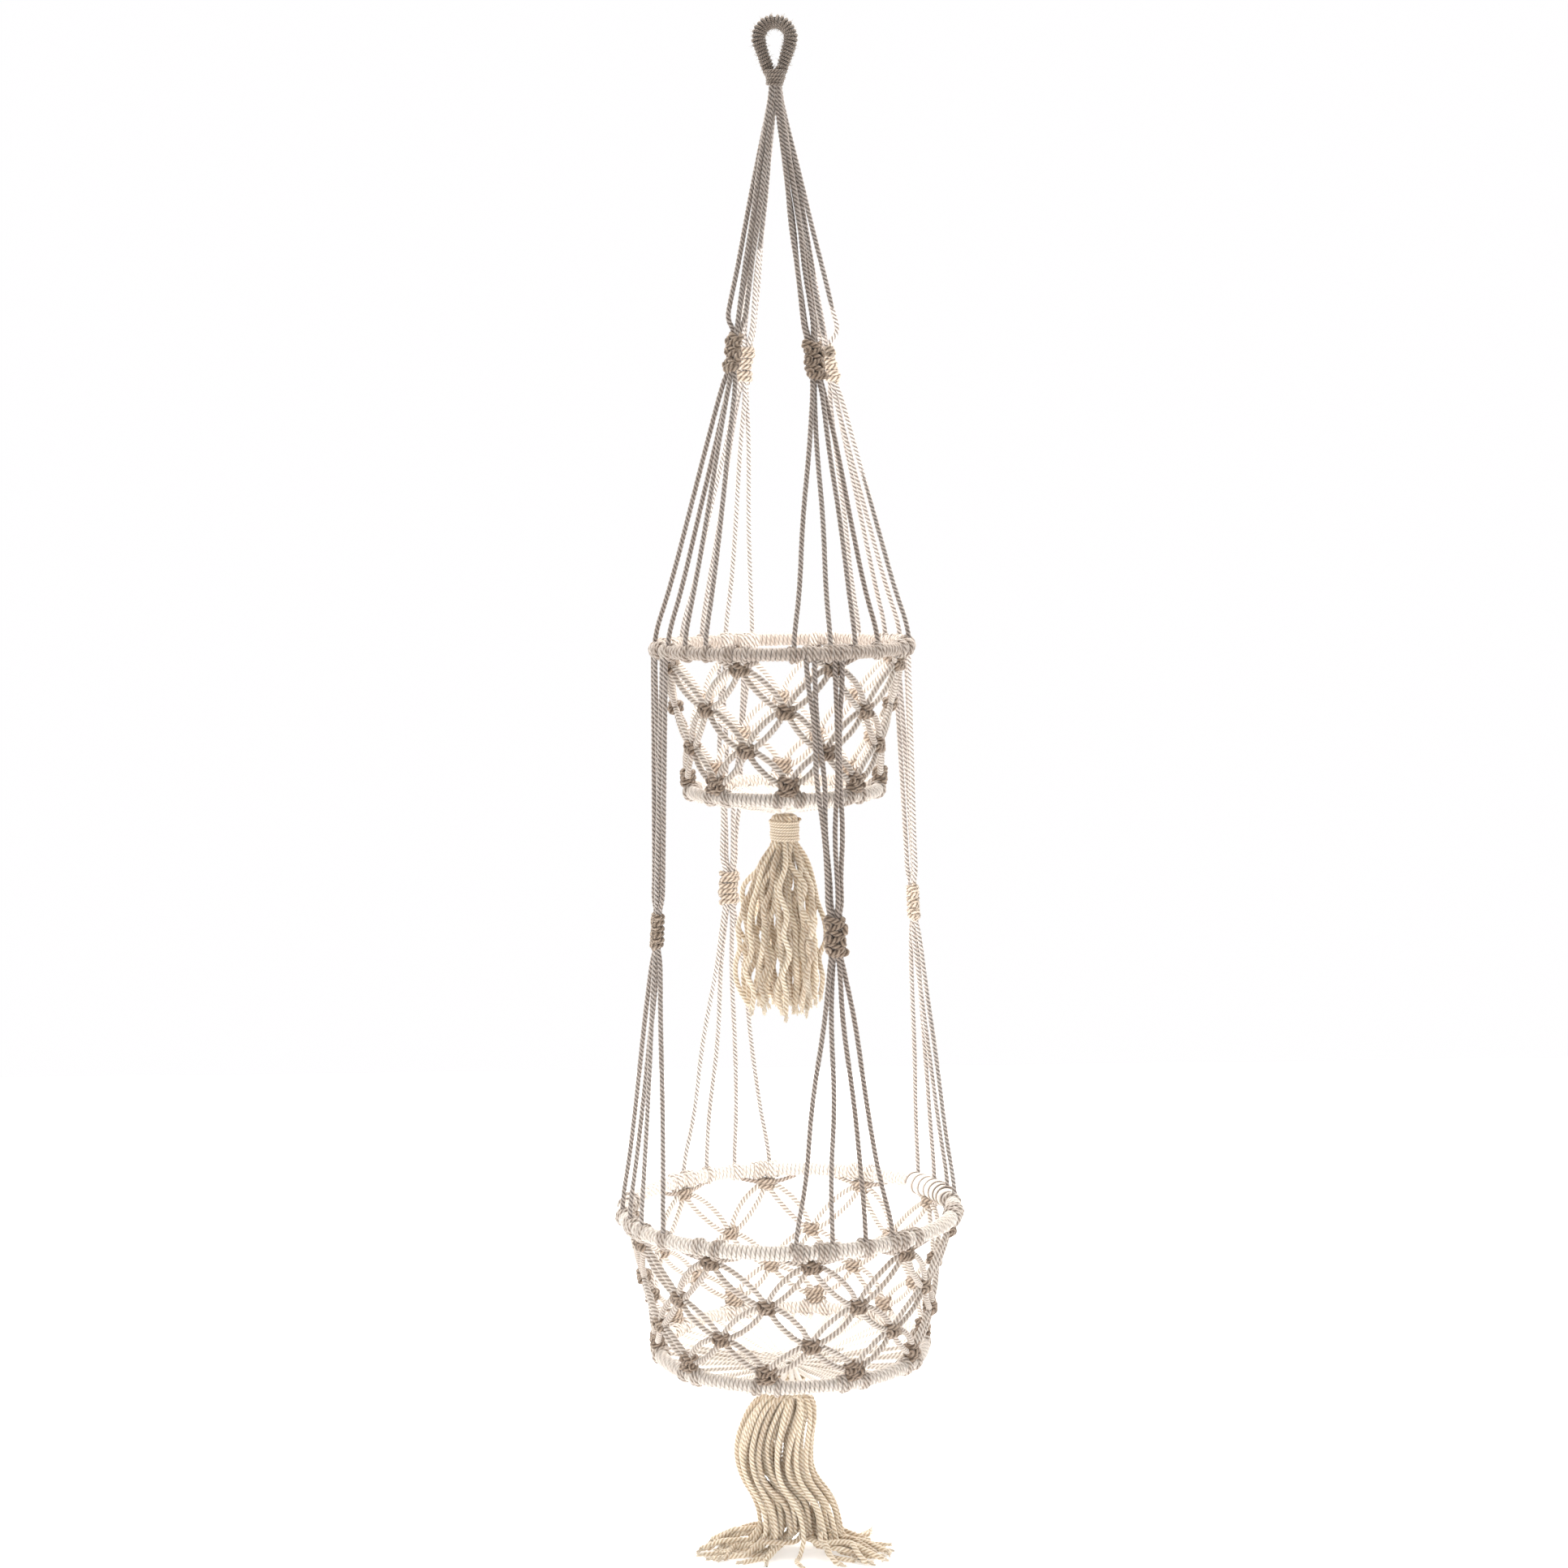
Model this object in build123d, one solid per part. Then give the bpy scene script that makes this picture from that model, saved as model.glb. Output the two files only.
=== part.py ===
from build123d import *
import math
import os

# Hanging macrame planter: two knotted cotton baskets, one under the other, on a wrapped loop.
# Millimetres. Z is up, and z = 0 is the top of the loop's eye, where a hook bears on it.
# -Y is the front. Azimuths are in degrees about Z, counted from +X towards +Y.

# ---- Cord ----
CORD_R = 1.7
GAP = 0.4

# ---- Hanging loop ----
LOOP_TUBE_R = 5.2
LOOP_LEG_R = 3.1
LOOP_WRAP_T = 1.9
LOOP_ARC_R = 11.3
LOOP_ARC_Z = LOOP_TUBE_R - LOOP_ARC_R
LOOP_FOOT_X = 3.2
LOOP_FOOT_Z = -28.0
COLLAR_R = 6.1
COLLAR_BORE_R = 4.1
COLLAR_Z = -40.0

# ---- Neck and upper strands ----
NECK_TOP_R = 5.4
NECK_END_R = 10.0
NECK_END_Z = -60.0
NECK_GROUP_R = 7.2
NECK_SPREAD_R = 3.1
NECK_SPREAD_T = 2.9
NECK_AZ = (-61.0, 29.0, 119.0, 209.0)
UPPER_GROUP_AZ = (-57.0, 36.0, 123.0, 226.0)
UPPER_SINNET_R = 45.0
UPPER_SINNET_Z = (-217.0, -218.0, -217.0, -210.5)
SINNET_SIZE = (8.4, 16.4, 28.0)
SINNET_ROUND = 3.0
SINNET_PORTS = (-6.3, -2.1, 2.1, 6.3)
PORT_DEPTH = 1.5

# ---- Upper basket ----
UPPER_HOOP = (91.0, -433.0)
UPPER_BASE_HOOP = (67.0, -536.0)
HOOP_TUBE_R = 5.7
BASE_TUBE_R = 5.2
WIRE_R = 2.3
WIRE_FIT = 0.05
UPPER_FAN_AZ = (
    (-85.0, -69.0, -57.0, -44.0),
    (9.0, 22.0, 35.0, 52.0),
    (104.0, 117.0, 130.0, 143.0),
    (192.0, 210.0, 223.0, 235.0),
)
UPPER_ROWS = ((86.5, -443.0), (77.0, -474.0), (71.0, -502.0), (69.0, -526.2))
UPPER_COUNT = 8
UPPER_TURN = 2.0

# ---- Lower strands ----
LOWER_START_R = 94.2
LOWER_STRAND_STEPS = (-8.5, -5.0, 4.0, 7.5)
LOWER_GROUP_AZ = (-70.0, 20.0, 115.0, 204.0)
LOWER_START_AZ = (-71.5, 22.0, 113.0, 202.0)
MID_SINNET_R = 100.0
MID_SINNET_Z = (-614.0, -610.0, -606.0, -617.5)

# ---- Lower basket ----
LOWER_HOOP = (120.5, -845.0)
LOWER_BASE_HOOP = (97.0, -948.0)
LOWER_FAN_AZ = (
    (-88.0, -76.0, -64.5, -54.0),
    (6.0, 16.0, 27.0, 37.0),
    (97.0, 110.0, 121.0, 131.0),
    (189.0, 201.0, 211.0, 223.5),
)
LOWER_ROWS = ((117.5, -855.0), (107.5, -888.0), (103.5, -915.0), (98.5, -938.2))
LOWER_COUNT = 10
LOWER_TURN = -10.0
OVERWRAP_AZ = (18.0, 56.0)
OVERWRAP_T = 2.6

# ---- Net ----
KNOT_SIZE = (8.0, 13.0, 10.0)
KNOT_ROUND = 2.6
OUTER_PORT = (5.8, 2.0)
INNER_PORT = (2.2, 4.3)
NET_BOW = 2.8

# ---- Base spokes and tassels ----
SPOKE_SAG = 12.5
GATHER_T = 5.0
UPPER_GATHER_R = 22.0
LOWER_GATHER_R = 27.0
SPOKE_END_IN = 3.0
TASSEL_HEAD_R = 10.8
TASSEL_HEAD_SLOPE = 4.2
TASSEL_HEAD_H = 17.0
UPPER_SKIRT = ((-574.0, 11.5), (-600.0, 21.0), (-640.0, 31.0), (-670.0, 32.0), (-701.0, 28.0))
BOTTOM_BODY = (
    (-984.0, -2.0, 0.0, 16.0, 13.0),
    (-1004.0, -12.0, -1.0, 25.0, 18.0),
    (-1030.0, -16.0, -2.0, 29.0, 20.0),
    (-1056.0, -4.0, -4.0, 28.0, 21.0),
    (-1080.0, 2.0, -8.0, 31.0, 26.0),
)
FLOOR_Z = -1098.0
TAIL_TOP_Z = -1088.0
TAIL_LOBES = (
    (-38.0, -18.0, 33.0, 17.0),
    (32.0, -26.0, 40.0, 18.0),
    (-2.0, -30.0, 24.0, 26.0),
    (2.0, -2.0, 36.0, 26.0),
)


def polar(radius, azimuth, z):
    angle = math.radians(azimuth)
    return Vector(radius * math.cos(angle), radius * math.sin(angle), z)


def facing(radius, azimuth, z):
    """A plane on the basket's wall: x points outwards, y along the wall and z up."""
    return Plane(polar(radius, azimuth, z), x_dir=polar(1, azimuth, 0), z_dir=(0, 0, 1))


def rod(start, end, radius=CORD_R, end_radius=None):
    """A straight length of cord, or a cone where the end radius differs."""
    run = end - start
    plane = Plane(start, z_dir=run)
    low = (Align.CENTER, Align.CENTER, Align.MIN)
    if end_radius is None:
        return plane * Cylinder(radius, run.length, align=low)
    return plane * Cone(radius, end_radius, run.length, align=low)


def bowed_cord(start, end, bow):
    """A length of cord on one arc, bowed sideways by the vector bow at its middle."""
    path = ThreePointArc(start, (start + end) * 0.5 + bow, end)
    return sweep(Plane(start, z_dir=path % 0) * Circle(CORD_R), path)


def rounded_block(plane, size, radius):
    block = Box(*size)
    return plane * fillet(block.edges(), radius)


def ring(hoop, tube_r, bore_r=0.0, start=0.0, sweep_angle=360.0):
    """A wrapped hoop, or its wire when there is no bore, turned about Z."""
    section = Circle(tube_r)
    if bore_r > 0:
        section = section - Circle(bore_r)
    section = Plane.XZ * Pos(hoop[0], hoop[1]) * section
    return Rot(Z=start) * revolve(section, Axis.Z, sweep_angle)


def turned(profile):
    """A solid of revolution about Z from (radius, z) points joined by straight lines."""
    return revolve(Plane.XZ * make_face(Polyline(*profile, close=True)), Axis.Z)


# ---- Hanging loop ----
def loop_tangent():
    """The point where the loop's top arc meets its straight leg."""
    down = LOOP_ARC_Z - LOOP_FOOT_Z
    reach = math.hypot(LOOP_FOOT_X, down)
    turn = math.atan2(-down, LOOP_FOOT_X) + math.acos(LOOP_ARC_R / reach)
    return Vector(LOOP_ARC_R * math.cos(turn), 0, LOOP_ARC_Z + LOOP_ARC_R * math.sin(turn)), turn


def loop_form(tube_r, leg_r):
    """The teardrop: part of a torus at the top and two tapering legs that close at the foot."""
    tangent, turn = loop_tangent()
    section = Plane(tangent, x_dir=(0, 1, 0), z_dir=(math.sin(turn), 0, -math.cos(turn)))
    centre = Axis((0, 0, LOOP_ARC_Z), (0, 1, 0))
    form = revolve(section * Circle(tube_r), centre, -(180 - 2 * math.degrees(turn)))
    for side in (1, -1):
        top = Vector(side * tangent.X, 0, tangent.Z)
        foot = Vector(side * LOOP_FOOT_X, 0, LOOP_FOOT_Z)
        past = foot + (foot - top).normalized() * 2
        form = form + rod(top, past, tube_r, leg_r)
    below = Pos(0, 0, LOOP_FOOT_Z - 20) * Box(60, 60, 40)
    return form - below


def make_loop():
    outer = loop_form(LOOP_TUBE_R, LOOP_LEG_R)
    inner = loop_form(LOOP_TUBE_R - LOOP_WRAP_T, LOOP_LEG_R - LOOP_WRAP_T + 0.3)
    stem_h = LOOP_FOOT_Z - COLLAR_Z
    stem = Pos(0, 0, COLLAR_Z + stem_h / 2) * Cylinder(COLLAR_BORE_R - WIRE_FIT, stem_h)
    collar = Pos(0, 0, COLLAR_Z + stem_h / 2) * (
        Cylinder(COLLAR_R, stem_h) - Cylinder(COLLAR_BORE_R, stem_h)
    )
    write("loop_wrap", [outer - inner])
    write("loop_core", [inner + stem])
    write("gather_collar", [collar])


# ---- Strands, sinnets and fans ----
def sinnet_plane(radius, azimuth, z):
    return facing(radius, azimuth, z - SINNET_SIZE[2] / 2)


def sinnet_port(radius, azimuth, z, port, side):
    """Where a cord enters the sinnet: side is 1 at its top and -1 at its foot."""
    plane = sinnet_plane(radius, azimuth, z)
    return plane.from_local_coords((0, port, side * (SINNET_SIZE[2] / 2 - PORT_DEPTH)))


def make_upper_group(index, azimuth):
    name = index + 1
    sinnet_z = UPPER_SINNET_Z[index]
    neck = facing(NECK_GROUP_R, NECK_AZ[index], NECK_END_Z + PORT_DEPTH)
    spread = ((0, -NECK_SPREAD_T), (-NECK_SPREAD_R, 0), (NECK_SPREAD_R, 0), (0, NECK_SPREAD_T))
    strands = []
    fans = []
    for place, port, fan_az in zip(spread, SINNET_PORTS, UPPER_FAN_AZ[index]):
        top = neck.from_local_coords((place[0], place[1], 0))
        strands.append(rod(top, sinnet_port(UPPER_SINNET_R, azimuth, sinnet_z, port, 1)))
        foot = polar(UPPER_HOOP[0], fan_az, UPPER_HOOP[1] + HOOP_TUBE_R - 1)
        fans.append(rod(sinnet_port(UPPER_SINNET_R, azimuth, sinnet_z, port, -1), foot))
    block = rounded_block(sinnet_plane(UPPER_SINNET_R, azimuth, sinnet_z), SINNET_SIZE, SINNET_ROUND)
    write(f"upper_strands_{name}", strands)
    write(f"upper_sinnet_{name}", [block])
    write(f"upper_fan_{name}", fans)


def make_lower_group(index, azimuth):
    name = index + 1
    sinnet_z = MID_SINNET_Z[index]
    start_z = UPPER_HOOP[1] - HOOP_TUBE_R - GAP - 0.4
    strands = []
    fans = []
    for step, port, fan_az in zip(LOWER_STRAND_STEPS, SINNET_PORTS, LOWER_FAN_AZ[index]):
        top = polar(LOWER_START_R, LOWER_START_AZ[index] + step, start_z)
        strands.append(rod(top, sinnet_port(MID_SINNET_R, azimuth, sinnet_z, port, 1)))
        foot = polar(LOWER_HOOP[0], fan_az, LOWER_HOOP[1] + HOOP_TUBE_R - 1)
        fans.append(rod(sinnet_port(MID_SINNET_R, azimuth, sinnet_z, port, -1), foot))
    block = rounded_block(sinnet_plane(MID_SINNET_R, azimuth, sinnet_z), SINNET_SIZE, SINNET_ROUND)
    write(f"lower_strands_{name}", strands)
    write(f"mid_sinnet_{name}", [block])
    write(f"lower_fan_{name}", fans)


# ---- Nets ----
def knot_azimuths(count, turn, row):
    """Rows 2 and 4 sit at the turn from the front, and rows 1 and 3 half a step further."""
    step = 360 / count
    offset = step / 2 if row % 2 == 0 else 0
    return [-90 + turn + offset + step * i for i in range(count)]


def net_cords(rows, count, turn, row):
    """The cords from one row of knots to the next: two to each side of every knot."""
    step = 360 / count
    upper_r, upper_z = rows[row]
    lower_r, lower_z = rows[row + 1]
    cords = []
    for azimuth in knot_azimuths(count, turn, row):
        upper = facing(upper_r, azimuth, upper_z)
        for side in (1, -1):
            lower = facing(lower_r, azimuth + side * step / 2, lower_z)
            ports = ((OUTER_PORT, INNER_PORT, 1), (INNER_PORT, OUTER_PORT, -1))
            for leave, arrive, outward in ports:
                start = upper.from_local_coords((0, side * leave[0], -leave[1]))
                end = lower.from_local_coords((0, -side * arrive[0], arrive[1]))
                out = polar(1, azimuth + side * step / 4, 0)
                across = out.cross((end - start).normalized()).normalized()
                across = across * (1 if across.Z > 0 else -1)
                cords.append(bowed_cord(start, end, across * (outward * NET_BOW) + out * 0.6))
    return cords


def make_net(tier, rows, count, turn):
    for row, (radius, z) in enumerate(rows):
        knots = []
        for azimuth in knot_azimuths(count, turn, row):
            knots.append(rounded_block(facing(radius, azimuth, z), KNOT_SIZE, KNOT_ROUND))
        write(f"{tier}_net_knots_{row + 1}", knots)
        if row + 1 < len(rows):
            write(f"{tier}_net_cords_{row + 1}", net_cords(rows, count, turn, row))


# ---- Hoops, spokes and gathers ----
def make_hoop(name, hoop, tube_r):
    write(f"{name}_wire", [ring(hoop, WIRE_R)])
    write(f"{name}_wrap", [ring(hoop, tube_r, WIRE_R + WIRE_FIT)])


def make_base(tier, hoop, count, gather_r):
    """Radial spokes that sag to a gather disc, which the tassel hangs from."""
    centre_z = hoop[1] - SPOKE_SAG
    spokes = []
    for i in range(count * 4):
        azimuth = 360 / (count * 4) * i + 2
        outer = polar(hoop[0] - BASE_TUBE_R + 1, azimuth, hoop[1])
        spokes.append(rod(outer, polar(gather_r - SPOKE_END_IN, azimuth, centre_z)))
    top = centre_z + CORD_R
    foot = top - GATHER_T
    disc = turned([(0, top), (gather_r, top), (gather_r, top - 3.4), (7, foot), (0, foot)])
    write(f"{tier}_base_spokes", spokes)
    write(f"{tier}_base_gather", [disc])


def tassel_head(top_z):
    """A wrapped head with a sloping shoulder, so that it can tilt under the gather."""
    shoulder = top_z - TASSEL_HEAD_SLOPE
    foot = shoulder - TASSEL_HEAD_H
    return turned([(0, top_z), (TASSEL_HEAD_R, shoulder), (TASSEL_HEAD_R, foot), (0, foot)])


def gather_foot(hoop):
    return hoop[1] - SPOKE_SAG + CORD_R - GATHER_T


def make_upper_tassel():
    top_z = gather_foot(UPPER_BASE_HOOP) - GAP
    outline = [(r, z) for z, r in UPPER_SKIRT]
    head_z = top_z - TASSEL_HEAD_SLOPE - TASSEL_HEAD_H
    side = Spline((TASSEL_HEAD_R - 0.6, head_z), *outline)
    base = Polyline(outline[-1], (0, outline[-1][1]), (0, head_z), (TASSEL_HEAD_R - 0.6, head_z))
    write("upper_tassel_head", [tassel_head(top_z)])
    write("upper_tassel_skirt", [revolve(Plane.XZ * make_face(side + base), Axis.Z)])


def make_bottom_tassel():
    top_z = gather_foot(LOWER_BASE_HOOP) - GAP
    write("bottom_tassel_head", [tassel_head(top_z)])
    foot_z = top_z - TASSEL_HEAD_SLOPE - TASSEL_HEAD_H
    sections = [Pos(0, 0, foot_z) * Circle(TASSEL_HEAD_R - 0.6)]
    for z, x, y, half_x, half_y in BOTTOM_BODY:
        sections.append(Pos(x, y, z) * Ellipse(half_x, half_y))
    last = BOTTOM_BODY[-1]
    sections.append(Pos(last[1], last[2], TAIL_TOP_Z) * Ellipse(last[3] + 2, last[4] + 2))
    write("bottom_tassel_body", [loft(sections)])
    height = TAIL_TOP_Z - FLOOR_Z
    tail = None
    for x, y, half_x, half_y in TAIL_LOBES:
        lobe = Pos(x, y, FLOOR_Z) * extrude(Ellipse(half_x, half_y), height)
        tail = lobe if tail is None else tail + lobe
    write("bottom_tassel_tail", [tail])


def write(name, shapes):
    """One STEP file: the node's solids, as one group."""
    solids = [solid for shape in shapes for solid in shape.solids()]
    group = solids[0] if len(solids) == 1 else Compound(children=solids)
    group.label = name
    export_step(group, f"parts/{name}.step")


os.makedirs("parts", exist_ok=True)
make_loop()
write("neck_bundle", [
    rod(Vector(0, 0, COLLAR_Z - GAP), Vector(0, 0, NECK_END_Z), NECK_TOP_R, NECK_END_R)
])
for group_index, group_az in enumerate(UPPER_GROUP_AZ):
    make_upper_group(group_index, group_az)
make_hoop("upper_hoop", UPPER_HOOP, HOOP_TUBE_R)
make_hoop("upper_base_hoop", UPPER_BASE_HOOP, BASE_TUBE_R)
make_net("upper", UPPER_ROWS, UPPER_COUNT, UPPER_TURN)
make_base("upper", UPPER_BASE_HOOP, UPPER_COUNT, UPPER_GATHER_R)
make_upper_tassel()
for group_index, group_az in enumerate(LOWER_GROUP_AZ):
    make_lower_group(group_index, group_az)
make_hoop("lower_hoop", LOWER_HOOP, HOOP_TUBE_R)
overwrap_turn = OVERWRAP_AZ[1] - OVERWRAP_AZ[0]
overwrap_r = HOOP_TUBE_R + OVERWRAP_T
overwrap = ring(LOWER_HOOP, overwrap_r, HOOP_TUBE_R + WIRE_FIT, OVERWRAP_AZ[0], overwrap_turn)
write("lower_hoop_overwrap", [overwrap])
make_hoop("lower_base_hoop", LOWER_BASE_HOOP, BASE_TUBE_R)
make_net("lower", LOWER_ROWS, LOWER_COUNT, LOWER_TURN)
make_base("lower", LOWER_BASE_HOOP, LOWER_COUNT, LOWER_GATHER_R)
make_bottom_tassel()
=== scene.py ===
import math
import random

import bpy
import numpy as np
from mathutils import Matrix, Vector


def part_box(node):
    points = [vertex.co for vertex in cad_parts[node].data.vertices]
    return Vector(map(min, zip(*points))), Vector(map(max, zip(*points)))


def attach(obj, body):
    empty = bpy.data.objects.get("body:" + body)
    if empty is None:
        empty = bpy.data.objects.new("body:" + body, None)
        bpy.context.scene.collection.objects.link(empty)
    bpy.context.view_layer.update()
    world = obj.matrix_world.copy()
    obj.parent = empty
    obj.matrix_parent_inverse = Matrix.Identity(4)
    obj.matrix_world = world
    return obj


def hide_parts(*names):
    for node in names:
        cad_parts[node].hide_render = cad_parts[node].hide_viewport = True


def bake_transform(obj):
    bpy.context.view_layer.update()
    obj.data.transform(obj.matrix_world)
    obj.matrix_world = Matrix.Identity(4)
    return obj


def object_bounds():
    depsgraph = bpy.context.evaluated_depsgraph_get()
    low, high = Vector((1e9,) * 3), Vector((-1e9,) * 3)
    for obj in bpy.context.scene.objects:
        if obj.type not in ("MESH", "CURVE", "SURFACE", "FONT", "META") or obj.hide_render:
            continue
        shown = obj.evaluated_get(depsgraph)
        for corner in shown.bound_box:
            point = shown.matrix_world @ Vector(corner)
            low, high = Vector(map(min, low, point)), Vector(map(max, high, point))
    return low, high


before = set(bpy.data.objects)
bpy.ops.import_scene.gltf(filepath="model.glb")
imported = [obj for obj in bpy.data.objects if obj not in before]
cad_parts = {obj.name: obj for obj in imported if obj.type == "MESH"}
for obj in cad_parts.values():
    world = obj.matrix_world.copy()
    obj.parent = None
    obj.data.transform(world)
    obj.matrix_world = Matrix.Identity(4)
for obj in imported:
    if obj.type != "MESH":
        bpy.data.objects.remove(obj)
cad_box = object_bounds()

# Hanging macrame planter. Routes are worked out in millimetres and written to the meshes in metres.
# Z is up, -Y is the front, and z = 0 is the top of the loop's eye.
MM = 0.001

# ---- Cord ----
# Its mean radius, then how far its plies reach where it hangs, in nets, in knots and in tassels
CORD_R = 1.7
PLY_R = 1.9
NET_R = 2.3
KNOT_R = 2.25
TASSEL_R = 2.05
FINE_R = 1.25               # the fine cord wound round the loop
CORD_LAY = 9.6              # length of one full turn of the plies
PLY_DEPTH = 0.31            # depth of the grooves between plies, as a share of the radius
FULL_TURN = 6.28            # range of the cords' starting angles
# Half thickness of each hoop's wrapping cord, their half width, and their paleness (0 dark to 1
# pale),
# painted light and shade: most hoops pale as if lit from above, the upper hoop dark as if in shade
WRAP_T = {"upper_hoop": 1.3, "upper_base_hoop": 1.3, "lower_hoop": 1.7, "lower_base_hoop": 1.5}
WRAP_W = 1.75
WRAP_LIGHT_AND_SHADE = {"upper_hoop": 0.2, "upper_base_hoop": 0.8, "lower_hoop": 1.0, "lower_base_hoop": 0.9}
# Rings of a tube: their spacing and their points
RING_STEP = 1.15
RING_POINTS = 12

# ---- Loop ----
LOOP_ARC_R = 11.3
LOOP_ARC_Z = -6.1
LOOP_FOOT = (4.5, -28.5)
LOOP_TUBE_R = (5.2, 4.3)    # at the top of the arc and at the feet
LOOP_HAIRS = 260            # stray fibres on each side
COLLAR_TURNS = 5
COLLAR_CORD = {"radius": CORD_R * 0.85, "lay": 6.0, "step": 0.9, "points": 10, "depth": 0.3}

# ---- Groups of four cords: front right, back right, back left, front left ----
# Where each cord of a group runs, above a sinnet and inside it: along the wall and outwards
STRAND_SPOTS = ((-5.2, 1.2), (-1.8, -2.2), (1.8, 2.2), (5.4, -1.0))
SINNET_CORE = ((-3.0, 0.2), (-1.0, -0.7), (1.0, 0.7), (3.0, -0.2))
CORE_WIDTH = 5.4            # half width of the sinnet that these core places are given for
SINNET_LEAN = {"upper": 0.22, "mid": 0.05}      # how far it runs outwards for each mm it drops
# Half width and half depth of each sinnet, its paleness, which is painted shade that darkens the
# two front sinnets, and how far it is turned from facing outwards
SINNET_SIZE = {"upper": ((5.4, 3.4), (4.3, 2.8), (4.3, 2.8), (4.2, 2.8)),
               "mid": ((5.5, 3.4), (4.1, 2.6), (5.4, 3.4), (4.1, 2.6))}
SINNET_PAINTED_SHADE = (0.0, 0.95, 0.9, 0.25)
SINNET_TURN = {"upper": (0.0, -8.0, 0.0, 10.0), "mid": (-4.0, -20.0, 6.0, -14.0)}
# Azimuths at which the cords reach the upper hoop, leave it again, and reach the lower hoop
UPPER_FAN_AZ = (
    (-85.0, -69.0, -57.0, -44.0),
    (9.0, 22.0, 35.0, 52.0),
    (104.0, 117.0, 130.0, 143.0),
    (192.0, 210.0, 223.0, 235.0),
)
LOWER_START_AZ = (-71.5, 22.0, 113.0, 202.0)
LOWER_STRAND_STEPS = (-8.5, -5.0, 4.0, 7.5)
LOWER_TIE_STEPS = (-6.8, 5.8)
LOWER_START_R = 94.2
LOWER_FAN_AZ = (
    (-88.0, -76.0, -64.5, -54.0),
    (6.0, 16.0, 27.0, 37.0),
    (97.0, 110.0, 121.0, 131.0),
    (189.0, 201.0, 211.0, 223.5),
)
# Paleness of each group's cords, painted shade: the front groups dark, the back groups pale.
GROUP_PAINTED_SHADE = {"upper": (0.05, 0.5, 0.65, 0.15), "mid": (0.0, 0.55, 0.65, 0.3)}
# Cords that bow out above a sinnet: (kind, sinnet, cord) and how far. Waves along each hanging run
LOOSE_CORDS = {("upper", 1, 0): 8.5, ("upper", 3, 0): 4.5, ("mid", 1, 1): 4.0, ("mid", 2, 3): 2.5}
UPPER_WAVES = ((0.9, -0.7, 0.5), (-0.8, 0.6, -0.9), (0.5, 0.9, -0.6), (-1.0, -0.5, 0.8))
LOWER_WAVES = ((1.6, -1.3, 1.1), (-1.4, 1.5, -1.2), (1.2, 1.1, -1.6), (-1.7, -1.0, 1.4))

# ---- Nets ----
UPPER_COUNT = 8
UPPER_TURN = 2.0
LOWER_COUNT = 10
LOWER_TURN = -10.0
NET_BOW = {"upper": (18, 31), "lower": (17, 30)}        # how far a pair bows apart, in degrees
# ---- Tassels ----
HEAD_TURNS = 7
HEAD_SHOULDER = 4.4         # drop from the head's top to its wrapping
END_YARNS = 11              # loose yarns at a cut end
GOLDEN_ANGLE = 137.5        # spreads strands evenly over a round bundle
TAIL_HEAD_R = 8.0


# ---- Camera first, then light, in metres ----
CAMERA_PLACE = (0.0, -2.035, -0.312)
CAMERA_DOWN = math.radians(6.17)
CAMERA_ROLL = math.radians(0.72)
CAMERA_LENS = 65.2


def make_camera():
    data = bpy.data.cameras.new("camera")
    data.lens = CAMERA_LENS
    data.sensor_width = 36.0
    data.clip_start = 0.05
    data.clip_end = 50.0
    camera = bpy.data.objects.new("camera", data)
    bpy.context.scene.collection.objects.link(camera)
    forward = Vector((0, math.cos(CAMERA_DOWN), -math.sin(CAMERA_DOWN)))
    up = Vector((0, math.sin(CAMERA_DOWN), math.cos(CAMERA_DOWN)))
    right = forward.cross(up)
    turned_up = up * math.cos(CAMERA_ROLL) + right * math.sin(CAMERA_ROLL)
    turned_right = forward.cross(turned_up)
    axes = Matrix((turned_right, turned_up, -forward)).transposed()
    camera.matrix_world = Matrix.Translation(CAMERA_PLACE) @ axes.to_4x4()
    bpy.context.scene.camera = camera


# Name, place, aim, size and watts
LIGHTS = (
    ("back_left", (-1.3, 0.9, 0.2), (0, 0, -0.55), (1.0, 1.6), 34),
    ("back_right", (1.3, 0.9, 0.2), (0, 0, -0.55), (1.0, 1.6), 38),
    ("overhead", (0, 0.3, 1.5), (0, 0, -0.6), (1.4, 1.4), 80),
    ("low_front", (-0.3, -1.5, -0.7), (0, 0, -0.9), (1.0, 0.8), 9),
    ("far_fill", (0, 0.02, -0.6), (0, 1, -0.6), (0.2, 0.9), 0.8),
    ("upper_basket_fill", (0, -0.01, -0.465), (0, 1, -0.465), (0.10, 0.07), 0.035),
    ("lower_basket_fill", (0, -0.01, -0.885), (0, 1, -0.885), (0.14, 0.08), 0.02),
)


def area_light(name, place, aim, size, watts):
    data = bpy.data.lights.new(name, "AREA")
    data.shape = "RECTANGLE"
    data.size = size[0]
    data.size_y = size[1]
    data.energy = watts
    light = bpy.data.objects.new(name, data)
    light.location = place
    light.rotation_euler = (Vector(aim) - Vector(place)).to_track_quat("-Z", "Y").to_euler()
    light.visible_camera = False
    bpy.context.scene.collection.objects.link(light)


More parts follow.
